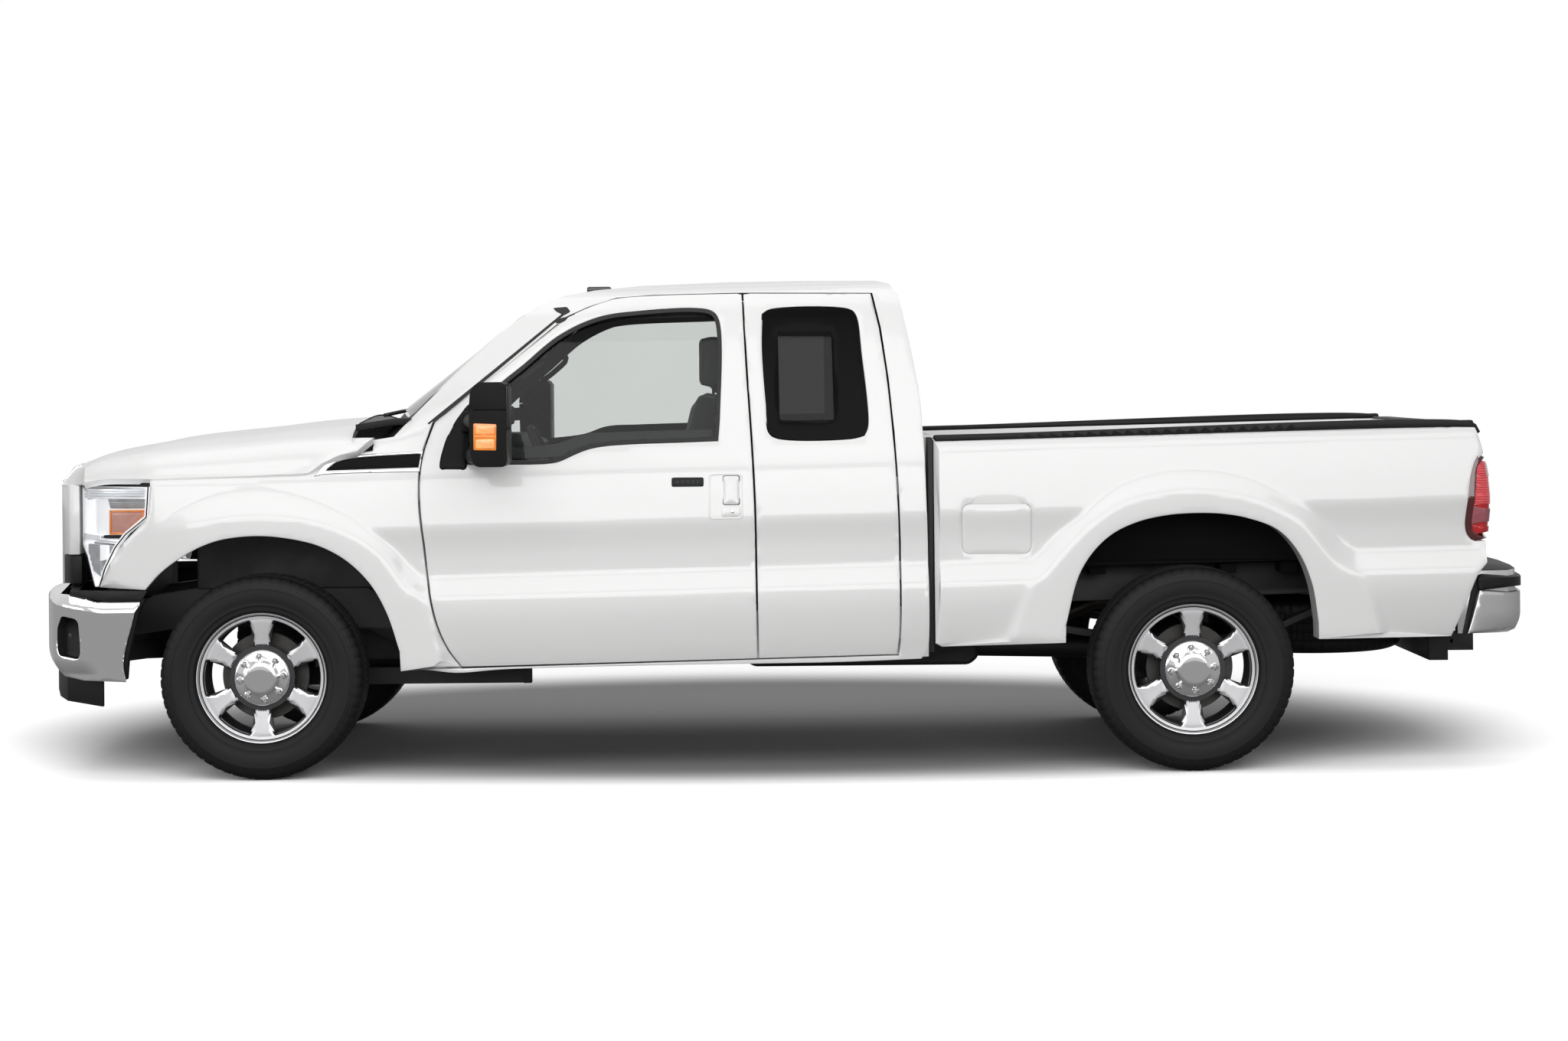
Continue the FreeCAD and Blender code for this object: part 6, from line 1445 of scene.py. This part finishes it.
PILLAR = spline(mm([(830, 1430), (1000, 1578), (1130, 1690), (1230, 1745), (1330, 1768), (1760, 1785), (1760, 1830),
                    (1330, 1815), (1180, 1775), (1000, 1640), (800, 1470)]), 0.03, 50)
BELT = spline(mm([(950, 1270), (1150, 1292), (1250, 1325), (1400, 1332), (1752, 1340), (1752, 1260), (950, 1230)]),
              0.03, 50)
SEAL = mm([(640, 1373), (900, 1586), (1168, 1808), (1180, 1806), (910, 1578), (655, 1366)])
SCREEN_CAP = ringed(mm([(1120, 1822), (1175, 1826), (1190, 1806), (1165, 1792), (1135, 1806)]), 0.006)
RAIL_LIP = spline(mm([(2612, 1285), (4660, 1321), (4702, 1316), (4716, 1298), (4724, 1304), (4708, 1334), (4680, 1346),
                      (2612, 1309)]), 0.04, 40)
LINING = ((1.13, 0.7, 1.76), (1.3, 0.675, 1.8), (1.7, 0.655, 1.812), (2.4, 0.65, 1.8))
GRAB = ((0.968, 0.745, 1.548), (0.99, 0.7, 1.54), (1.078, 0.668, 1.612), (1.076, 0.7, 1.64))
for h, w in HANDS:
    bar("headlining_roll_%d" % h, [(XF + x, h * y, z) for x, y, z in LINING], 0.05, 0.022, 10, "head_cloth")
    bar("grab_handle_%d" % h, [(XF + x, h * y, z) for x, y, z in GRAB], 0.02, 0.012, 10, "trim_grey")
    layer("pillar_cover_%d" % h, PILLAR, [], cab_y, -0.062, 0.012, h, "head_cloth", slot="dash_plastic", step=0.03)
    layer("belt_trim_%d" % h, BELT, [], cab_y, -0.062, 0.018, h, "trim_grey", body="front_door_" + w,
          slot="dash_plastic", step=0.03)
    layer("screen_seal_%d" % h, SEAL, [], cab_y, 0.0045, 0.0145, h, "rubber", slot="black_trim", step=0.03, lip=0.002,
          drop=0.001)
    layer("screen_cap_%d" % h, SCREEN_CAP, [], cab_y, 0.006, 0.018, h, "trim_grey", slot="black_trim", step=0.03,
          drop=0.003)
    # Black strips in the gap between cab and bed: painted shade for the gap, shaped as weather strips
    lo, hi = sorted((h * 0.8, h * 0.94))
    from_bmesh("bed_gap_strip_%d" % h, box_bm((XF + 2.583, lo, 0.47), (XF + 2.603, hi, 1.3), 0.003), "rubber",
               slot="black_trim")
NODES["windscreen"].material_slots[0].material = M["screen_glass"]

# Mouldings on the bed's rim and the tailgate, and the dark panel behind the bumper's opening

for h, w in HANDS:
    layer("rail_lip_%d" % h, RAIL_LIP, [], lambda x, z: np.full_like(x, 0.947), 0, 0.042, h, "black_trim",
          slot="black_trim", step=0.05, lip=0.006, drop=0.005)
from_bmesh("tailgate_moulding", box_bm((XF + 4.655, -0.826, 1.322), (XF + 4.732, 0.826, 1.337), 0.006, 3),
           "black_trim", body="tailgate", slot="black_trim")
from_bmesh("bumper_opening_panel", box_bm((XF - 0.885, -0.345, 0.432), (XF - 0.872, 0.345, 0.542), 0.003),
           "black_trim", slot="black_trim")

for i, (h, w) in enumerate(HANDS):
    path = [(XF + 0.44, h * 0.66 + 0.06, 1.402), (XF + 0.47, h * 0.3, 1.412), (XF + 0.48, h * 0.06 - 0.1, 1.414)]
    bar("wiper_arm_%d" % i, path, 0.03, 0.008, 8, "black_trim")
    bar("wiper_blade_%d" % i, [(x + 0.022, y - 0.05, z + 0.006) for x, y, z in path], 0.03, 0.005, 8, "rubber")


# Camera, light and ground, from the photograph

def turn(degrees, axis):
    return Matrix.Rotation(math.radians(degrees), 4, axis).to_quaternion()


cam_data = bpy.data.cameras.new("camera")
cam_data.sensor_width = 36
cam_data.lens = 70.7
cam_data.shift_x = 0.01357
cam_data.shift_y = -0.09575
cam_data.clip_end = 200
cam = linked("camera", cam_data)
cam.location = (XF + 1.9473, -12.87, 1.567)
cam.rotation_mode = "QUATERNION"
cam.rotation_quaternion = turn(0.5317, "Y") @ turn(90, "X")
bpy.context.scene.camera = cam

# Grey levels of the room from straight down to straight up, its light on the near and the far side, and how
# it looks in gloss
ROOM_STOPS = [(0, 0), (0.5, 0), (0.54, 0.25), (0.6, 0.7), (0.75, 1), (1, 0.8)]
ROOM_NEAR, ROOM_FAR = 0.18, 0.75
GLOSS_SKY, GLOSS_SHARE = 0.8, 0.85
# The floor's grey in its painted shadow near the truck and outside it, to the lamps, and its glow and its look in gloss
# far out
FLOOR_PAINTED_SHADOW, FLOOR_WHITE, FLOOR_BOUNCE = 0.36, 1.7, 0.28
FLOOR_GLOW, FLOOR_GLOSS = 0.12, 0.36
FLOOR_SIZE, FLOOR_Z = 60, -0.0002


def world():
    """White to the camera, and to everything else a studio: dark below, a bright wall behind, soft above."""
    w = bpy.data.worlds.new("studio")
    bpy.context.scene.world = w
    w.use_nodes = True
    nt = w.node_tree
    co = shader(nt, "ShaderNodeTexCoord")
    sep = shader(nt, "ShaderNodeSeparateXYZ", links={"Vector": co.outputs["Generated"]})
    level = ramp(nt, mapped(nt, sep.outputs["Z"], -1, 1, 0, 1, False), [(p, (c, c, c * 1.005)) for p, c in ROOM_STOPS])
    bg = nt.nodes["Background"]
    nt.links.new(mapped(nt, sep.outputs["Y"], -0.3, 0.5, ROOM_NEAR, ROOM_FAR), bg.inputs["Strength"])
    nt.links.new(level, bg.inputs["Color"])
    white = shader(nt, "ShaderNodeBackground", {"Color": grey(1)})
    soft = shader(nt, "ShaderNodeBackground", {"Color": grey(GLOSS_SKY)})
    lp = shader(nt, "ShaderNodeLightPath")
    gloss = mapped(nt, lp.outputs["Is Glossy Ray"], 0, 1, 0, GLOSS_SHARE, False)
    room = shader(nt, "ShaderNodeMixShader",
                  links={"Fac": gloss, 1: bg.outputs["Background"], 2: soft.outputs["Background"]})
    mix = shader(nt, "ShaderNodeMixShader", links={
        "Fac": lp.outputs["Is Camera Ray"], 1: room.outputs["Shader"], 2: white.outputs["Background"]})
    nt.links.new(mix.outputs["Shader"], nt.nodes["World Output"].inputs["Surface"])


def area(name, place_at, target, size, power):
    d = bpy.data.lights.new(name, "AREA")
    d.shape = "RECTANGLE"
    d.size, d.size_y = size
    d.energy = power
    o = linked(name, d)
    o.location = place_at
    o.rotation_mode = "QUATERNION"
    o.rotation_quaternion = (Vector(target) - Vector(place_at)).to_track_quat("-Z", "Y")


def oval(nt, position, centre, half):
    """Distance from a point on the floor, with one at an oval of the half sizes."""
    sub = shader(nt, "ShaderNodeVectorMath", {1: (*centre, 0)}, {0: position}, operation="SUBTRACT")
    div = shader(nt, "ShaderNodeVectorMath", {1: (1 / half[0], 1 / half[1], 0)}, {0: sub.outputs["Vector"]},
                 operation="MULTIPLY")
    return shader(nt, "ShaderNodeVectorMath", (), {0: div.outputs["Vector"]}, operation="LENGTH").outputs["Value"]


def ground():
    """A floor that is grey to the lamps and white to the camera, with a shadow painted into its colour near the truck.
    """
    m, nt = empty_material("backdrop")
    position = shader(nt, "ShaderNodeNewGeometry").outputs["Position"]
    lp = shader(nt, "ShaderNodeLightPath")
    # Painted shadow: the floor's colour darkens in an oval under and beside the truck
    near = oval(nt, position, (-0.1, 0.9), (3.1, 2.1))
    painted_shadow = mapped(nt, near, 0.75, 1.15, FLOOR_PAINTED_SHADOW, FLOOR_WHITE)
    grain = mapped(nt, noise(nt, 1).outputs["Fac"], 0, 1, 0.97, 1.03, False)
    colour = shader(nt, "ShaderNodeMath", (), {0: painted_shadow, 1: grain}, operation="MULTIPLY")
    seen = shader(nt, "ShaderNodeMix", {"A": FLOOR_BOUNCE},
                  {"Factor": lp.outputs["Is Camera Ray"], "B": colour.outputs["Value"]})
    matt = shader(nt, "ShaderNodeBsdfDiffuse", links={"Color": seen.outputs["Result"]})
    far = mapped(nt, oval(nt, position, (-0.1, 0.5), (4.6, 3.4)), 0.72, 1, 0, 1)
    shine = mapped(nt, lp.outputs["Is Glossy Ray"], 0, 1, FLOOR_GLOW, FLOOR_GLOSS, False)
    most = shader(nt, "ShaderNodeMath", (), {0: shine, 1: lp.outputs["Is Camera Ray"]}, operation="MAXIMUM")
    em = shader(nt, "ShaderNodeEmission", {"Color": grey(1)}, {"Strength": most.outputs["Value"]})
    mix = shader(nt, "ShaderNodeMixShader", links={"Fac": far, 1: matt.outputs["BSDF"], 2: em.outputs["Emission"]})
    nt.links.new(mix.outputs["Shader"], nt.nodes["Material Output"].inputs["Surface"])
    mesh = bpy.data.meshes.new("floor")
    s = FLOOR_SIZE
    mesh.from_pydata([(x, y, FLOOR_Z) for x, y in ((-s, -s), (s, -s), (s, s), (-s, s))], [], [(0, 1, 2, 3)])
    mesh.materials.append(m)
    linked("floor", mesh)


world()
area("overhead", (0, -0.8, 6.5), (0, -0.3, 0), (11, 4), 130)
area("key", (0, -7.5, 6), (0, 0, 0.8), (12, 4), 345)
area("nose", (-9, -6, 2.6), (-2, 0, 0.9), (4, 3), 120)
area("side", (0, -11, 2.9), (0, 0, 1.1), (14, 3), 480)
ground()
bpy.context.scene.view_settings.view_transform = "Standard"
